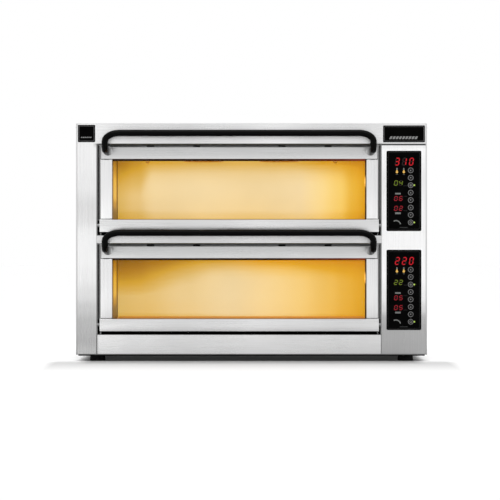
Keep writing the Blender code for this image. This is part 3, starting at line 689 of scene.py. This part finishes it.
def window_frits():
    """Black enamel borders fired on the inner panes; their extra width along the top and the right is
    painted shade.
    """
    for deck in DECKS:
        low, high, left, right = deck.window_bottom, deck.window_top, deck.window_left, deck.window_right
        face, cover = deck.box("inner_glass")[0].y, 0.012
        outer = rounded(left - cover, right + cover, low - cover, high + cover, 0.004)
        inner = rounded(left + 0.0010, right - 0.0021, low + 0.0005, high - 0.0055, 0.003)
        bm = bmesh.new()
        add_band(bm, outer, inner, face - PRINT, face + SINK)
        piece(f"{deck.name}_glass_border", bm, enamel(deck), deck.body)


def panes():
    tints = (0.97, 0.96, 0.94, 1), (1.0, 0.99, 0.97, 1)
    glass, _ = mottled("oven_glass", 5.0, *tints, transmission=1.0, ior=1.12, roughness=0.0)
    for deck in DECKS:
        paint(glass.material, f"{deck.name}_outer_glass", f"{deck.name}_inner_glass")


def pad_painted_shadow(middle, inner, leg):
    """A pad's tone, with the leg's painted shadow: darkest beside its leg. Distances are from the handle's
    middle.
    """
    def tone(finish):
        aside = finish.math("ABSOLUTE", finish.math("SUBTRACT", finish.x, middle))
        levels = (inner, 200), (inner + 0.005, 150), (leg - 0.0075, 88), (leg, 120)
        return finish.ramp(aside, greys(levels))
    return tone


def handles():
    """Powder-coated bars, with a steel pad on the door behind each leg that reaches inward and down,
    carrying the leg's painted shadow.
    """
    coat, orange_peel = mottled("powder_black", 1600.0, grey(2), grey(4), (0.34, 0.42), specular=0.04)
    coat.set(normal=coat.bump(orange_peel, 0.15, 0.0001))
    for deck in DECKS:
        name = f"{deck.name}_handle"
        paint(coat.material, name)
        low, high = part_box(name)
        middle, leg = (low.x + high.x) / 2, (high.x - low.x) / 2 - HANDLE_RADIUS
        inner, outer, corner, edge = leg - PAD_INWARD, leg + PAD_OUTWARD, 0.0110, 0.0012
        bottom, top = deck.top - HANDLE_FOOT_DROP - PAD_DROP, deck.top - 0.0005
        bm = bmesh.new()
        for sign in (-1, 1):
            left, right = sorted((middle + sign * inner, middle + sign * outer))
            outline = rounded(left, right, bottom, top, corner, 8)
            add_prism(bm, outline, FRONT - PAD_THICKNESS, FRONT + SINK, edge)
        steel = brushed(f"{name}_pad_steel", "z", pad_painted_shadow(middle, inner, leg), 0.4)
        piece(f"{name}_pads", bm, steel, deck.body)


# ---- chambers

# Painted lamp light and shade inside the chambers: the liners glow with these colours and shares.
GOLD = [
    (0.00, rgb(52, 26, 0)), (0.20, rgb(118, 76, 0)), (0.35, rgb(168, 118, 10)), (0.50, rgb(204, 158, 42)),
    (0.65, rgb(215, 180, 96)), (0.82, rgb(228, 204, 148)), (1.00, rgb(236, 218, 174)),
]
GLOW_ACROSS = {                     # x, painted brightness of the back wall
    "upper": ((-0.399, 0.70), (-0.345, 0.79), (-0.285, 0.95), (-0.150, 0.98), (0.0, 0.94), (0.200, 1.0),
              (0.262, 0.90), (0.305, 0.68), (0.339, 0.56)),
    "lower": ((-0.399, 0.70), (-0.320, 0.72), (-0.200, 0.82), (-0.060, 0.94), (0.060, 0.97), (0.140, 0.95),
              (0.230, 0.82), (0.280, 0.74), (0.339, 0.66)),
}
GLOW_ALOFT = {                      # the same under the roof
    "upper": ((-0.399, 0.33), (-0.345, 0.42), (-0.289, 0.52), (-0.150, 0.57), (0.0, 0.59), (0.100, 0.56),
              (0.224, 0.48), (0.339, 0.40)),
    "lower": ((-0.399, 0.21), (-0.345, 0.24), (-0.289, 0.28), (-0.150, 0.36), (0.0, 0.45), (0.100, 0.46),
              (0.224, 0.42), (0.339, 0.38)),
}
GLOW_UP = {                         # height over the window's foot, share of that brightness
    "upper": ((-0.006, 0.50), (0.012, 0.78), (0.040, 0.92), (0.090, 0.97), (0.185, 0.96)),
    "lower": ((-0.006, 0.80), (0.012, 0.95), (0.060, 0.98), (0.090, 0.97), (0.185, 0.96)),
}
LAMP_TINT = {                       # from this x to the right wall, the painted light turns deeper yellow
    "upper": (0.15, (1.20, 1.02, 0.17, 1)), "lower": (-0.05, (1.04, 0.80, 0.10, 1)),
}
ROOF_TINT = {"upper": 0.0, "lower": 0.95}   # how much of that painted tint the painted shade aloft takes on
ROOF_TINT_START, ROOF_TINT_END = -0.14, 0.02    # from none of it to all of it
CORNER_SHADE = {                    # the painted shade aloft hangs lower up to this x, with this steepness
    "upper": (-0.30, 1.4), "lower": (-0.12, 0.8),
}
CORNER_X = -0.33
SHADE_FOOT = 0.060, 0.098           # height where the painted shade aloft begins, at the corner and away from it
SHADE_TOP = 0.172
WALL_UP = (                         # height, share of a side wall's painted brightness
    (0.0, 0.0), (0.020, 0.06), (0.045, 0.60), (0.070, 1.0), (0.110, 0.95), (0.150, 0.62), (0.172, 0.4),
)
WALL_GLOW = (                       # depth from the mouth to the back, painted brightness of a side wall
    (0.0, 0.16), (0.16, 0.24), (0.30, 0.52), (0.62, 0.55), (0.80, 0.30), (0.90, 0.12), (1.0, 0.22),
)
DEPTH_GLOW = ((0.0, 0.35), (0.3, 0.80), (0.9, 1.0), (1.0, 1.0))     # the same for floor and roof


def lamp_light(finish, deck, height, depth):
    """The painted lamp light on the back wall, floor and roof, and how far the point is up in the painted
    shade aloft.
    """
    across = finish.ramp(finish.x, shares(GLOW_ACROSS[deck.name]))
    share = finish.times(across, finish.ramp(height, shares(GLOW_UP[deck.name])))
    shade_end, steepness = CORNER_SHADE[deck.name]
    clear_of_corner = finish.span(finish.x, CORNER_X, shade_end)
    aloft = finish.span(height, finish.span(clear_of_corner, 0, 1, *SHADE_FOOT), SHADE_TOP)
    aloft = finish.math("POWER", aloft, finish.span(clear_of_corner, 0, 1, steepness, 2.0))
    share = finish.mix(aloft, share, finish.ramp(finish.x, shares(GLOW_ALOFT[deck.name])))
    return finish.times(share, finish.ramp(depth, shares(DEPTH_GLOW))), aloft


def liner_finish(deck):
    """Steel with painted lamp light and shade: the painted glow is strongest in the middle of the back
    wall.
    """
    finish = Finish(f"{deck.name}_liner_steel", metal=0.4, specular=0.3, glow_strength=0.93)
    low, high = deck.liner_low, deck.liner_high
    height = finish.math("SUBTRACT", finish.z, deck.window_bottom)
    depth = finish.span(finish.y, low.y, high.y)
    share, aloft = lamp_light(finish, deck, height, depth)
    aside = finish.math("ABSOLUTE", finish.math("SUBTRACT", finish.x, (low.x + high.x) / 2))
    on_wall = finish.math("GREATER_THAN", aside, (high.x - low.x) / 2 - SHEET - 0.0004)
    wall = finish.times(finish.ramp(depth, shares(WALL_GLOW)), finish.ramp(height, shares(WALL_UP)))
    grain = finish.noise(1.0, 4.0, GRAIN["x"])
    streak = finish.vary(grain, -0.02, 0.02)
    tint = finish.ramp(finish.math("ADD", finish.mix(on_wall, share, wall), streak), GOLD, smooth=False)
    lamp_start, lamp_colour = LAMP_TINT[deck.name]
    rightward = finish.span(finish.x, ROOF_TINT_START, ROOF_TINT_END, 0.0, ROOF_TINT[deck.name])
    under_roof = finish.math("MULTIPLY", aloft, rightward)
    warmth = finish.math("ADD", finish.span(finish.x, lamp_start, high.x), under_roof)
    warmth = finish.math("MINIMUM", warmth, 1.0)
    tint = finish.mix(warmth, tint, finish.times(tint, lamp_colour))
    inside = finish.span(finish.y, low.y + SHEET, low.y + SHEET + 0.004)
    steel = finish.mix(on_wall, finish.mix(0.7, tint, grey(30)), rgb(52, 30, 2))
    finish.set(glow=finish.mix(inside, grey(0), tint), colour=steel)
    finish.set(roughness=finish.vary(grain, 0.30, 0.42), normal=finish.bump(grain, 0.2, 0.0003))
    return finish.material


def stone_finish():
    # the stone's glow is painted lamp light
    stone = Finish("fired_stone", glow_strength=0.50)
    speck = stone.noise(260.0, 4.0)
    colours = (0.35, rgb(176, 136, 80)), (0.5, rgb(206, 168, 108)), (0.65, rgb(226, 194, 138))
    tone = stone.ramp(speck, colours)
    stone.set(colour=tone, glow=stone.times(tone, rgb(255, 212, 132)))
    stone.set(roughness=stone.vary(speck, 0.8, 0.95))
    stone.set(normal=stone.bump(stone.noise(900.0, 2.0), 0.5, 0.0006))
    return stone.material


def chambers():
    """Liners, stones, elements and lamps; the liners, stones and elements glow with painted lamp light."""
    stone = stone_finish()
    sheath, scale = mottled(
        "element_sheath", 180.0, rgb(74, 54, 34), rgb(128, 98, 60), (0.45, 0.62), 3.0,
        metal=0.8, glow_strength=0.55)
    # painted glow in the gold of the chamber's painted lamp light
    sheath.set(glow=sheath.vary(scale, rgb(206, 132, 28), rgb(226, 156, 44)))

    lens = Finish("lamp_lens", glow_strength=2.2, specular=0.5, colour=rgb(236, 214, 170))
    ribs = lens.noise(500.0, 1.0)
    lens.set(glow=lens.vary(ribs, rgb(255, 196, 104), rgb(255, 214, 140)))
    lens.set(roughness=lens.vary(ribs, 0.12, 0.25))

    for deck in DECKS:
        paint(liner_finish(deck), f"{deck.name}_chamber_liner")
        paint(stone, f"{deck.name}_hearth_stone")
        paint(sheath.material, f"{deck.name}_bottom_element", f"{deck.name}_top_element")
        paint(lens.material, f"{deck.name}_lamp")


# ---- bay and hinges

def rubber(name, level):
    """Matt rubber or dark paint, slightly mottled."""
    return mottled(name, 700.0, grey(level - 4), grey(level + 4), (0.7, 0.85), specular=0.04)[0].material


def bay_sides():
    """A seal strip and a hinge block on each side of each door; the seal's grey is painted shade, darker on
    the left.
    """
    black = rubber("hinge_black", 10)
    strip_width, block_width, clear = 0.0030, 0.0060, 0.0026
    for side, edge, inward, level in (
        ("left", BAY_LEFT + clear, 1, 62), ("right", BAY_RIGHT - clear, -1, 112),
    ):
        x0, x1 = sorted((edge, edge + inward * strip_width))
        strips = [
            ((x0, FRONT + 0.010, deck.bottom + 0.035), (x1, FRONT + 0.016, deck.top + 0.006))
            for deck in DECKS
        ]
        x0, x1 = sorted((edge, edge + inward * block_width))
        blocks = [
            ((x0, FRONT + 0.0155, deck.bottom - 0.0085), (x1, FRONT + 0.030, deck.bottom + 0.034))
            for deck in DECKS
        ]
        box_piece(f"{side}_bay_seal", strips, rubber(f"{side}_seal_grey", level))
        box_piece(f"{side}_hinge_blocks", blocks, black, edge=0.001)


def slot_details():
    """What shows in the slots round the doors: a strip with four clips above, and a black sill below as
    painted shade.
    """
    black, clip_grey = rubber("slot_shade_black", 9), rubber("clip_grey", 40)
    strip_steel = brushed("strip_steel", "x", plain(140), 0.5)
    for deck in DECKS:
        face, top, bottom = deck.liner_low.y, deck.top, deck.bottom
        left, right = deck.left, deck.right
        strip = (left + 0.006, face - 0.0032, top - 0.006), (right - 0.006, face - 0.0006, top + 0.0072)
        clips = [
            ((x - 0.010, face - 0.0060, top - 0.004), (x + 0.010, face - 0.0030, top + 0.0055))
            for x in (deck.centre_x + side * offset for offset in CLIP_OFFSETS for side in (-1, 1))
        ]
        sill = (left, face - 0.0025, bottom - 0.0095), (right, face - 0.0003, bottom + 0.012)
        box_piece(f"{deck.name}_slot_strip", [strip], strip_steel)
        box_piece(f"{deck.name}_slot_clips", clips, clip_grey, edge=0.0008)
        box_piece(f"{deck.name}_sill_strip", [sill], black)


def header_seam():
    """A black strip in the gap between the header and the control column, as painted shade in the seam."""
    left, right = BAY_RIGHT + 0.001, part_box("control_fascia")[1].x - 0.001
    low = (left, FRONT + 0.0003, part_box("control_fascia")[1].z + 0.0001)
    high = (right, FRONT + 0.0013, HEADER_BOTTOM - 0.0001)
    box_piece("header_seam", [(low, high)], rubber("seam_shade_line", 8), edge=0.0, smooth=False)


def base_trim():
    """A black edge strip under the floor tray, along the front and sides, as painted shade under the
    cabinet's lower edge.
    """
    reach, low_z, high_z, width = 0.4935, 0.0148, 0.0179, 0.006
    front, back = FRONT + 0.0008, BACK - 0.004
    across = [((-reach, front, low_z), (reach, front + width, high_z))]
    box_piece("base_trim_front", across, rubber("trim_black", 14))
    ends = (-reach, -reach + width), (reach - width, reach)
    along = [((x0, front + width, low_z), (x1, back, high_z)) for x0, x1 in ends]
    box_piece("base_trim_sides", along, rubber("side_trim_black", 14))


def door_seals():
    """Woven fibreglass rope along the top and both sides of each chamber's mouth."""
    rope = Finish("fibreglass_rope", roughness=0.9, specular=0.2)
    weave = rope.noise(1.0, 3.0, (700, 700, 700))
    rope.set(colour=rope.ramp(weave, [(0.35, grey(92)), (0.65, grey(150))]))
    rope.set(normal=rope.bump(weave, 0.9, 0.001))
    radius = 0.0032
    for deck in DECKS:
        y = deck.liner_low.y - radius + SINK
        left, right = deck.liner_low.x - 0.0035, deck.liner_high.x + 0.0035
        top, foot = deck.liner_high.z - 0.018, deck.bottom + 0.034
        bm = bmesh.new()
        runs = (((left, foot), (left, top)), ((left, top), (right, top)), ((right, top), (right, foot)))
        for (x0, z0), (x1, z1) in runs:
            start, end = Vector((x0, y, z0)), Vector((x1, y, z1))
            length = (end - start).length
            tip, tip_radius = radius * 0.6, radius * 0.5
            profile = [(-tip, tip_radius), (0, radius), (length, radius), (length + tip, tip_radius)]
            add_turned(bm, profile, start, (end - start).normalized(), 14)
        piece(f"{deck.name}_door_seal", bm, rope.material, CABINET, smooth=True)


# ---- screws, louvres and feet

def add_screws(bm, xs, ys, zs, axis, radius=0.0040):
    """Pan-head screws with round sockets at each crossing of xs, ys and zs. axis points out of the face."""
    profile = [
        (-SINK, radius), (0.0007, radius), (0.0014, radius * 0.86), (0.0018, radius * 0.62),
        (0.0019, radius * 0.42), (0.0009, radius * 0.40),
    ]
    for at in product(xs, ys, zs):
        add_turned(bm, profile, at, axis, 20)


def evenly(low, high, count):
    return [low + (high - low) * i / (count - 1) for i in range(count)]


def screws():
    """Screws round the rear panel and its fan, along both sides and on the roof."""
    finish = brushed("screw_steel", "z", plain(150), 0.30)
    low, high = cad_bounds
    rear_low, rear_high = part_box("rear_panel")
    fan_low, fan_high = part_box("fan_frame")
    rim, fan_rim, roof_rim = 0.010, 0.004, 0.016
    rows = rear_low.z + rim, rear_high.z - rim
    columns = rear_low.x + rim, rear_high.x - rim
    between = evenly(rear_low.z + 0.14, rear_high.z - 0.14, 3)
    fan_rows = fan_low.z + fan_rim, fan_high.z - fan_rim
    fan_columns = fan_low.x + fan_rim, fan_high.x - fan_rim

    bm = bmesh.new()
    backwards = (0, 1, 0)
    add_screws(bm, evenly(*columns, 7), [BACK], rows, backwards)
    add_screws(bm, columns, [BACK], between, backwards)
    add_screws(bm, fan_columns, [BACK], fan_rows, backwards, 0.0032)
    piece("rear_screws", bm, finish, CABINET, smooth=True)

    for side, sign in (("left", -1), ("right", 1)):
        bm = bmesh.new()
        face, rear_y = [sign * high.x], BACK - 0.020
        add_screws(bm, face, evenly(FRONT + 0.030, rear_y, 5), (SHELL_BOTTOM + rim, rows[1]), (sign, 0, 0))
        add_screws(bm, face, [rear_y], between, (sign, 0, 0))
        piece(f"{side}_side_screws", bm, finish, CABINET, smooth=True)

    bm = bmesh.new()
    ends = low.x + roof_rim, high.x - roof_rim
    add_screws(bm, evenly(*ends, 6), [BACK - 0.014], [high.z], (0, 0, 1))
    add_screws(bm, ends, evenly(FRONT + 0.060, BACK - 0.110, 3), [high.z], (0, 0, 1))
    piece("roof_screws", bm, finish, CABINET, smooth=True)


def hood_section(bm, x, top, drop, reach):
    """A louvre hood's cross-section: out from the back, down in a quarter round, and back inside it."""
    steps, thick, root = 6, 0.0009, BACK - SINK
    turns = [math.pi / 2 * i / steps for i in range(steps + 1)]
    outer = [(root + reach * math.sin(t), top - drop * (1 - math.cos(t))) for t in turns]
    top, depth, height = top - thick, reach - thick, drop - thick
    inner = [(root + depth * math.sin(t), top - height * (1 - math.cos(t))) for t in turns]
    return [bm.verts.new((x, y, z)) for y, z in outer + inner[::-1]]


def add_hood(bm, left, right, top, drop, reach):
    """A pressed louvre hood on the back, open underneath, with rounded ends."""
    end = reach * 0.9
    stations = (
        (left, 0.35), (left + end * 0.4, 0.8), (left + end, 1.0),
        (right - end, 1.0), (right - end * 0.4, 0.8), (right, 0.35),
    )
    add_lofted(bm, [hood_section(bm, x, top, drop, reach * squeeze) for x, squeeze in stations])


def louvre_piece(name, centre, half, tops, drop, reach, finish):
    """One piece with a hood under each height in tops."""
    bm = bmesh.new()
    for top in tops:
        add_hood(bm, centre - half, centre + half, top, drop, reach)
    piece(name, bm, finish, CABINET, smooth=True)


def louvres():
    """Hoods over the rear panel's slots."""
    finish = brushed("louvre_steel", "x", plain(200), 0.34)
    tops = [LOUVRE_FIRST_Z + LOUVRE_PITCH * row + 0.005 for row in range(LOUVRE_ROWS)]
    for index, centre in enumerate(LOUVRE_CENTRES):
        louvre_piece(f"rear_louvres_{index + 1}", centre, LOUVRE_REACH, tops, 0.0062, 0.0050, finish)
    fan_low, fan_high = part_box("fan_frame")
    centre, middle = (fan_low.x + fan_high.x) / 2, (fan_low.z + fan_high.z) / 2
    tops = [middle + FAN_SLOT_PITCH * (row - FAN_HOODS // 2) + 0.0045 for row in range(FAN_HOODS)]
    louvre_piece("fan_louvres", centre, FAN_HOOD_REACH, tops, 0.0055, 0.0045, finish)


def feet():
    """Ribbed rubber feet in place of the CAD's feet."""
    sole, mottle = mottled("ribbed_rubber", 420.0, grey(14), grey(26), (0.75, 0.9), 3.0, specular=0.2)
    sole.set(normal=sole.bump(mottle, 0.3, 0.0003))
    for name in ("foot_front_left", "foot_front_right", "foot_rear_left", "foot_rear_right"):
        low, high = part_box(name)
        radius, top = (high.x - low.x) / 2, high.z
        profile = [(0.0, radius - 0.0015), (0.0015, radius)]
        for rib in range(3):
            base, groove = 0.0035 + 0.0030 * rib, radius - 0.0009
            profile += [(base, radius), (base + 0.0005, groove), (base + 0.0013, groove)]
            profile.append((base + 0.0018, radius - 0.0004 * rib))
        profile += [(top - 0.0035, radius - 0.0020), (top - 0.0020, radius * 0.86), (top, radius * 0.80)]
        bm = bmesh.new()
        add_turned(bm, profile, ((low.x + high.x) / 2, (low.y + high.y) / 2, low.z), (0, 0, 1), 48)
        foot = piece(f"{name}_ribbed", bm, sole.material, CABINET, smooth=True)
        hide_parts(name)


# ---- small finishes for CAD nodes

def other_finishes():
    """Finishes of the CAD nodes inside the cabinet and at its back."""
    wool, fibre = mottled(
        "mineral_wool", 1.0, rgb(150, 138, 104), rgb(196, 184, 148), detail=6.0, stretch=(300, 1200, 300),
        roughness=0.95)
    wool.set(normal=wool.bump(fibre, 0.8, 0.002))
    paint(wool.material, "insulation_jacket")

    board = Finish("solder_mask", specular=0.5)
    tracks = board.noise(1.0, 2.0, (900, 900, 120))
    board.set(colour=board.ramp(tracks, [(0.45, rgb(12, 70, 40)), (0.55, rgb(22, 96, 56))]))
    board.set(roughness=board.span(tracks, 0.4, 0.6, 0.28, 0.42))
    paint(board.material, "control_board")

    plastic, texture = mottled(
        "moulded_plastic", 1400.0, grey(26), grey(34), (0.42, 0.55), specular=0.4)
    plastic.set(normal=plastic.bump(texture, 0.25, 0.0002))
    paint(plastic.material, "fan_frame", "fan_rotor", "cable_gland")
    paint(brushed("turned_pin_steel", "x", plain(132), 0.28), "lower_hinge_shaft", "upper_hinge_shaft")


# ---- controls

def print_finish(name, colour, glow=0.0):
    """Ink or a lit segment, faintly mottled."""
    finish = Finish(name, specular=0.2, glow_strength=glow)
    mottle = finish.noise(1500.0, 2.0)
    dimmer = tuple(0.86 * part for part in colour[:3]) + (1.0,)
    tone = finish.vary(mottle, dimmer, colour)
    finish.set(colour=tone, roughness=finish.vary(mottle, 0.45, 0.6))
    if glow:
        finish.set(glow=tone, colour=finish.mix(0.8, tone, grey(0)))
    return finish.material


def acrylic():
    return mottled("black_acrylic", 40.0, grey(1), grey(3), (0.14, 0.24), 3.0, specular=0.02)[0].material


LED_KEYS = 3, 8                     # the keys with a status light beside them
SEGMENTS = {
    "0": "abcdef", "1": "bc", "2": "abged", "3": "abgcd", "4": "fgbc", "5": "afgcd", "6": "afgedc",
    "8": "abcdefg",
}


def add_digit(bm, digit, centre_x, centre_z, width, height, stroke, near, far):
    """A slanted seven-segment digit, each lit segment a bar with pointed ends."""
    lean = math.tan(math.radians(9))
    half_w, half_h = (width - stroke) / 2, (height - stroke) / 2
    gap = stroke * 0.12
    spans = {
        "a": ((-half_w, half_h), (half_w, half_h)), "g": ((-half_w, 0), (half_w, 0)),
        "d": ((-half_w, -half_h), (half_w, -half_h)), "f": ((-half_w, 0), (-half_w, half_h)),
        "b": ((half_w, 0), (half_w, half_h)), "e": ((-half_w, -half_h), (-half_w, 0)),
        "c": ((half_w, -half_h), (half_w, 0)),
    }
    for key in SEGMENTS[digit]:
        start, end = (Vector(point) for point in spans[key])
        along = (end - start).normalized()
        across = Vector((-along.y, along.x)) * stroke / 2
        start, end = start + along * gap, end - along * gap
        shoulder = along * stroke / 2
        outline = [
            start, start + shoulder - across, end - shoulder - across,
            end, end - shoulder + across, start + shoulder + across,
        ]
        add_prism(bm, [(centre_x + p.x + p.y * lean, centre_z + p.y) for p in outline], near, far)


NUMBERS = {                         # first digit's place across, pitch, place down, width, height, stroke
    "temperature": (0.0305, 0.0200, 0.0305, 0.0125, 0.0225, 0.0030),
    "timer": (0.0265, 0.0140, 0.0915, 0.0105, 0.0145, 0.0021),
    "top": (0.0265, 0.0140, 0.1355, 0.0105, 0.0140, 0.0024),
    "bottom": (0.0265, 0.0140, 0.1635, 0.0105, 0.0145, 0.0024),
}
READINGS = {
    "upper": {"temperature": "310", "timer": "04", "top": "06", "bottom": "02"},
    "lower": {"temperature": "220", "timer": "22", "top": "05", "bottom": "05"},
}
SEAL_WIDTHS = {                     # left, right, bottom, top
    "upper": (0.0005, 0.0012, 0.0014, 0.0003), "lower": (0.0005, 0.0012, 0.0003, 0.0014),
}


class Panel:
    """A control panel's face: marks are placed from its left edge and down from its top edge."""

    def __init__(self, deck):
        self.name = deck.name
        self.low, self.high = deck.box("control_panel")
        self.near = self.low.y - PRINT
        self.far = self.low.y + SINK

    def at(self, right, down):
        return self.low.x + right, self.high.z - down

    def bar(self, bm, left, right, top, bottom, corner=0.0006):
        x0, z1 = self.at(left, top)
        x1, z0 = self.at(right, bottom)
        add_prism(bm, rounded(x0, x1, z0, z1, corner, 2), self.near, self.far)

    def disc(self, bm, right, down, radius):
        add_prism(bm, circle(*self.at(right, down), radius, 20), self.near, self.far)

    def number(self, bm, unlit, kind):
        """Lit digits in one mesh, and the faint segments round them, a little deeper, in another."""
        first, pitch, down, *shape = NUMBERS[kind]
        for i, digit in enumerate(READINGS[self.name][kind]):
            x, z = self.at(first + pitch * i, down)
            add_digit(bm, digit, x, z, *shape, self.near, self.far)
            add_digit(unlit, "8", x, z, *shape, self.near + PRINT / 2, self.far)

    def marks(self, kind, bm, finish):
        piece(f"{self.name}_{kind}", bm, finish, CABINET)

    def seal(self, finish):
        """The thin bead of sealant that fills the gap between the fascia and the panel."""
        left, right, bottom, top = SEAL_WIDTHS[self.name]
        low, high = self.low, self.high
        outer = rounded(low.x - left, high.x + right, low.z - bottom, high.z + top, 0.0034)
        bm = bmesh.new()
        add_band(bm, outer, inset(low, high, SINK, 0.0030), min(FRONT, low.y) - PRINT / 2, FRONT + SINK)
        piece(f"{self.name}_panel_seal", bm, finish, CABINET)


def panel_inks():
    """What the panels' lit and printed marks are made of."""
    return {
        "red": print_finish("red_segments", rgb(198, 8, 26), 0.80),
        "dim_red": print_finish("dim_red_segments", rgb(146, 14, 30), 0.75),
        "green": print_finish("green_segments", rgb(112, 130, 30), 0.70),
        "amber": print_finish("amber_marks", rgb(232, 184, 92), 0.85),
        "led": print_finish("lit_led", rgb(176, 206, 84), 0.85),
        "unlit": print_finish("unlit_segments", rgb(30, 13, 14)),
        "ink": print_finish("grey_ink", rgb(108, 110, 108)),
        "faint": print_finish("faint_ink", rgb(46, 46, 46)),
    }


def panel_digits(panel, inks):
    """The four readings, and all their unlit segments in one piece."""
    unlit = bmesh.new()
    for name, kinds, ink in (
        ("temperature", ["temperature"], "red"), ("timer", ["timer"], "green"),
        ("power", ["top", "bottom"], "dim_red"),
    ):
        digits = bmesh.new()
        for kind in kinds:
            panel.number(digits, unlit, kind)
        panel.marks(f"{name}_digits", digits, inks[ink])
    panel.marks("unlit_segments", unlit, inks["unlit"])


def panel_signs(panel, inks):
    """Two lit lamp signs, and in grey their heat marks, two short bars and a curved one."""
    bulbs, grey_marks = bmesh.new(), bmesh.new()
    for middle in (0.0293, 0.0488):
        panel.disc(bulbs, middle, 0.0602, 0.0034)
        panel.bar(bulbs, middle - 0.0017, middle + 0.0017, 0.0545, 0.0600)
        panel.bar(grey_marks, middle - 0.0020, middle + 0.0020, 0.0485, 0.0542, 0.0018)
        panel.bar(grey_marks, middle - 0.0030, middle + 0.0030, 0.0665, 0.0675)
    panel.marks("heat_lamps", bulbs, inks["amber"])
    for top, bottom in ((0.1195, 0.1240), (0.1750, 0.1800)):
        panel.bar(grey_marks, 0.0240, 0.0400, top, bottom)
    turns = [math.radians(118 - 13 * i) for i in range(9)]
    x, z = panel.at(0.0265, 0.2120)
    outer, inner = (
        [(x + radius * math.cos(t), z + radius * math.sin(t)) for t in turns] for radius in (0.0150, 0.0118)
    )
    add_prism(grey_marks, inner + outer[::-1], panel.near, panel.far)
    panel.marks("panel_marks", grey_marks, inks["ink"])


def panel_lines(panel, finish):
    """Faint lines: one at the foot, three beside the keys and one round the edge."""
    lines = bmesh.new()
    panel.bar(lines, 0.0370, 0.0600, 0.2172, 0.2190)
    for down in (0.0990, 0.1290, 0.1700):
        panel.bar(lines, 0.0480, 0.0590, down, down + 0.0007, 0.0002)
    outer, inner = inset(panel.low, panel.high, 0.0038, 0.003), inset(panel.low, panel.high, 0.0043, 0.0025)
    add_band(lines, outer, inner, panel.near, panel.far)
    panel.marks("panel_lines", lines, finish)


def control_panels():
    """Acrylic faces with their displays, signs and status lights."""
    inks = panel_inks()
    black = acrylic()
    sealant = rubber("panel_sealant", 6)
    for deck in DECKS:
        panel = Panel(deck)
        paint(black, f"{deck.name}_control_panel")
        panel.seal(sealant)
        panel_digits(panel, inks)
        panel_signs(panel, inks)
        panel_lines(panel, inks["faint"])
        leds = bmesh.new()
        for key in LED_KEYS:
            key_low, key_high = deck.box(f"key_{key}")
            panel.disc(leds, 0.0788, panel.high.z - (key_low.z + key_high.z) / 2, 0.0023)
        panel.marks("status_leds", leds, inks["led"])


def key_symbol(bm, number, x, z, near, far):
    """A small generic sign for each key."""
    size = 0.0026
    if number in (1, 4, 6):
        add_prism(bm, circle(x, z - size * 0.2, size, 3, math.pi / 2), near, far)
    elif number in (2, 5, 7):
        add_prism(bm, circle(x, z + size * 0.2, size, 3, -math.pi / 2), near, far)
    elif number == 3:
        for turn in range(3):
            t = math.pi * turn / 3 + 0.3
            along = Vector((math.cos(t), math.sin(t))) * size * 1.5
            across = Vector((-math.sin(t), math.cos(t))) * 0.0006
            rim = [-along - across, along - across, along + across, -along + across]
            add_prism(bm, [(x + p.x, z + p.y) for p in rim], near, far)
    else:
        add_ring(bm, x, z, size * 1.25, size * 0.8, near, far, 18)


def keys():
    """Round keys with a printed ring and a small sign, which move with the key."""
    cap, _ = mottled("key_cap", 1200.0, grey(14), grey(22), (0.35, 0.48), specular=0.1)
    ring_ink = print_finish("ring_ink", rgb(112, 112, 112))
    sign_ink = print_finish("sign_ink", rgb(120, 120, 120))
    for name in (f"{deck.name}_key_{number}" for deck in DECKS for number in range(1, 9)):
        low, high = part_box(name)
        place = (low.x + high.x) / 2, (low.z + high.z) / 2
        depths = low.y - PRINT, low.y + SINK
        paint(cap.material, name)
        ring, sign = bmesh.new(), bmesh.new()
        add_ring(ring, *place, 0.0078, 0.0063, *depths, 28)
        key_symbol(sign, int(name[-1]), *place, *depths)
        piece(f"{name}_ring", ring, ring_ink, name)
        piece(f"{name}_sign", sign, sign_ink, name)


def badges():
    """Plain black plates with an inset line and a generic bar."""
    black = acrylic()
    line = print_finish("badge_line", grey(96))
    bar = print_finish("badge_bar", grey(120))
    for name, thickness, middle_z, margin, blocks in (
        ("left_badge", 0.0030, 0.637, 0.0090, 6), ("right_badge", 0.0078, 0.636, 0.0190, 9),
    ):
        low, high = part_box(name)
        paint(black, name)
        near, far = low.y - PRINT, low.y + SINK
        border = bmesh.new()
        add_band(border, inset(low, high, 0.003, 0.002), inset(low, high, 0.0038, 0.0015), near, far)
        piece(f"{name}_border", border, line, CABINET)
        mark = bmesh.new()
        lean = thickness * 0.25
        left, right = low.x + margin, high.x - margin
        bottom, top = middle_z - thickness / 2, middle_z + thickness / 2
        step = (right - left) / blocks
        for i in range(blocks):
            x0, x1 = left + step * i, left + step * (i + 0.72)
            outline = [(x0 - lean, bottom), (x1 - lean, bottom), (x1 + lean, top), (x0 + lean, top)]
            add_prism(mark, outline, near, far)
        piece(f"{name}_bar", mark, bar, CABINET)


cabinet()
doors()
window_frits()
panes()
handles()
chambers()
bay_sides()
slot_details()
header_seam()
base_trim()
door_seals()
screws()
louvres()
feet()
other_finishes()
control_panels()
keys()
badges()
studio()
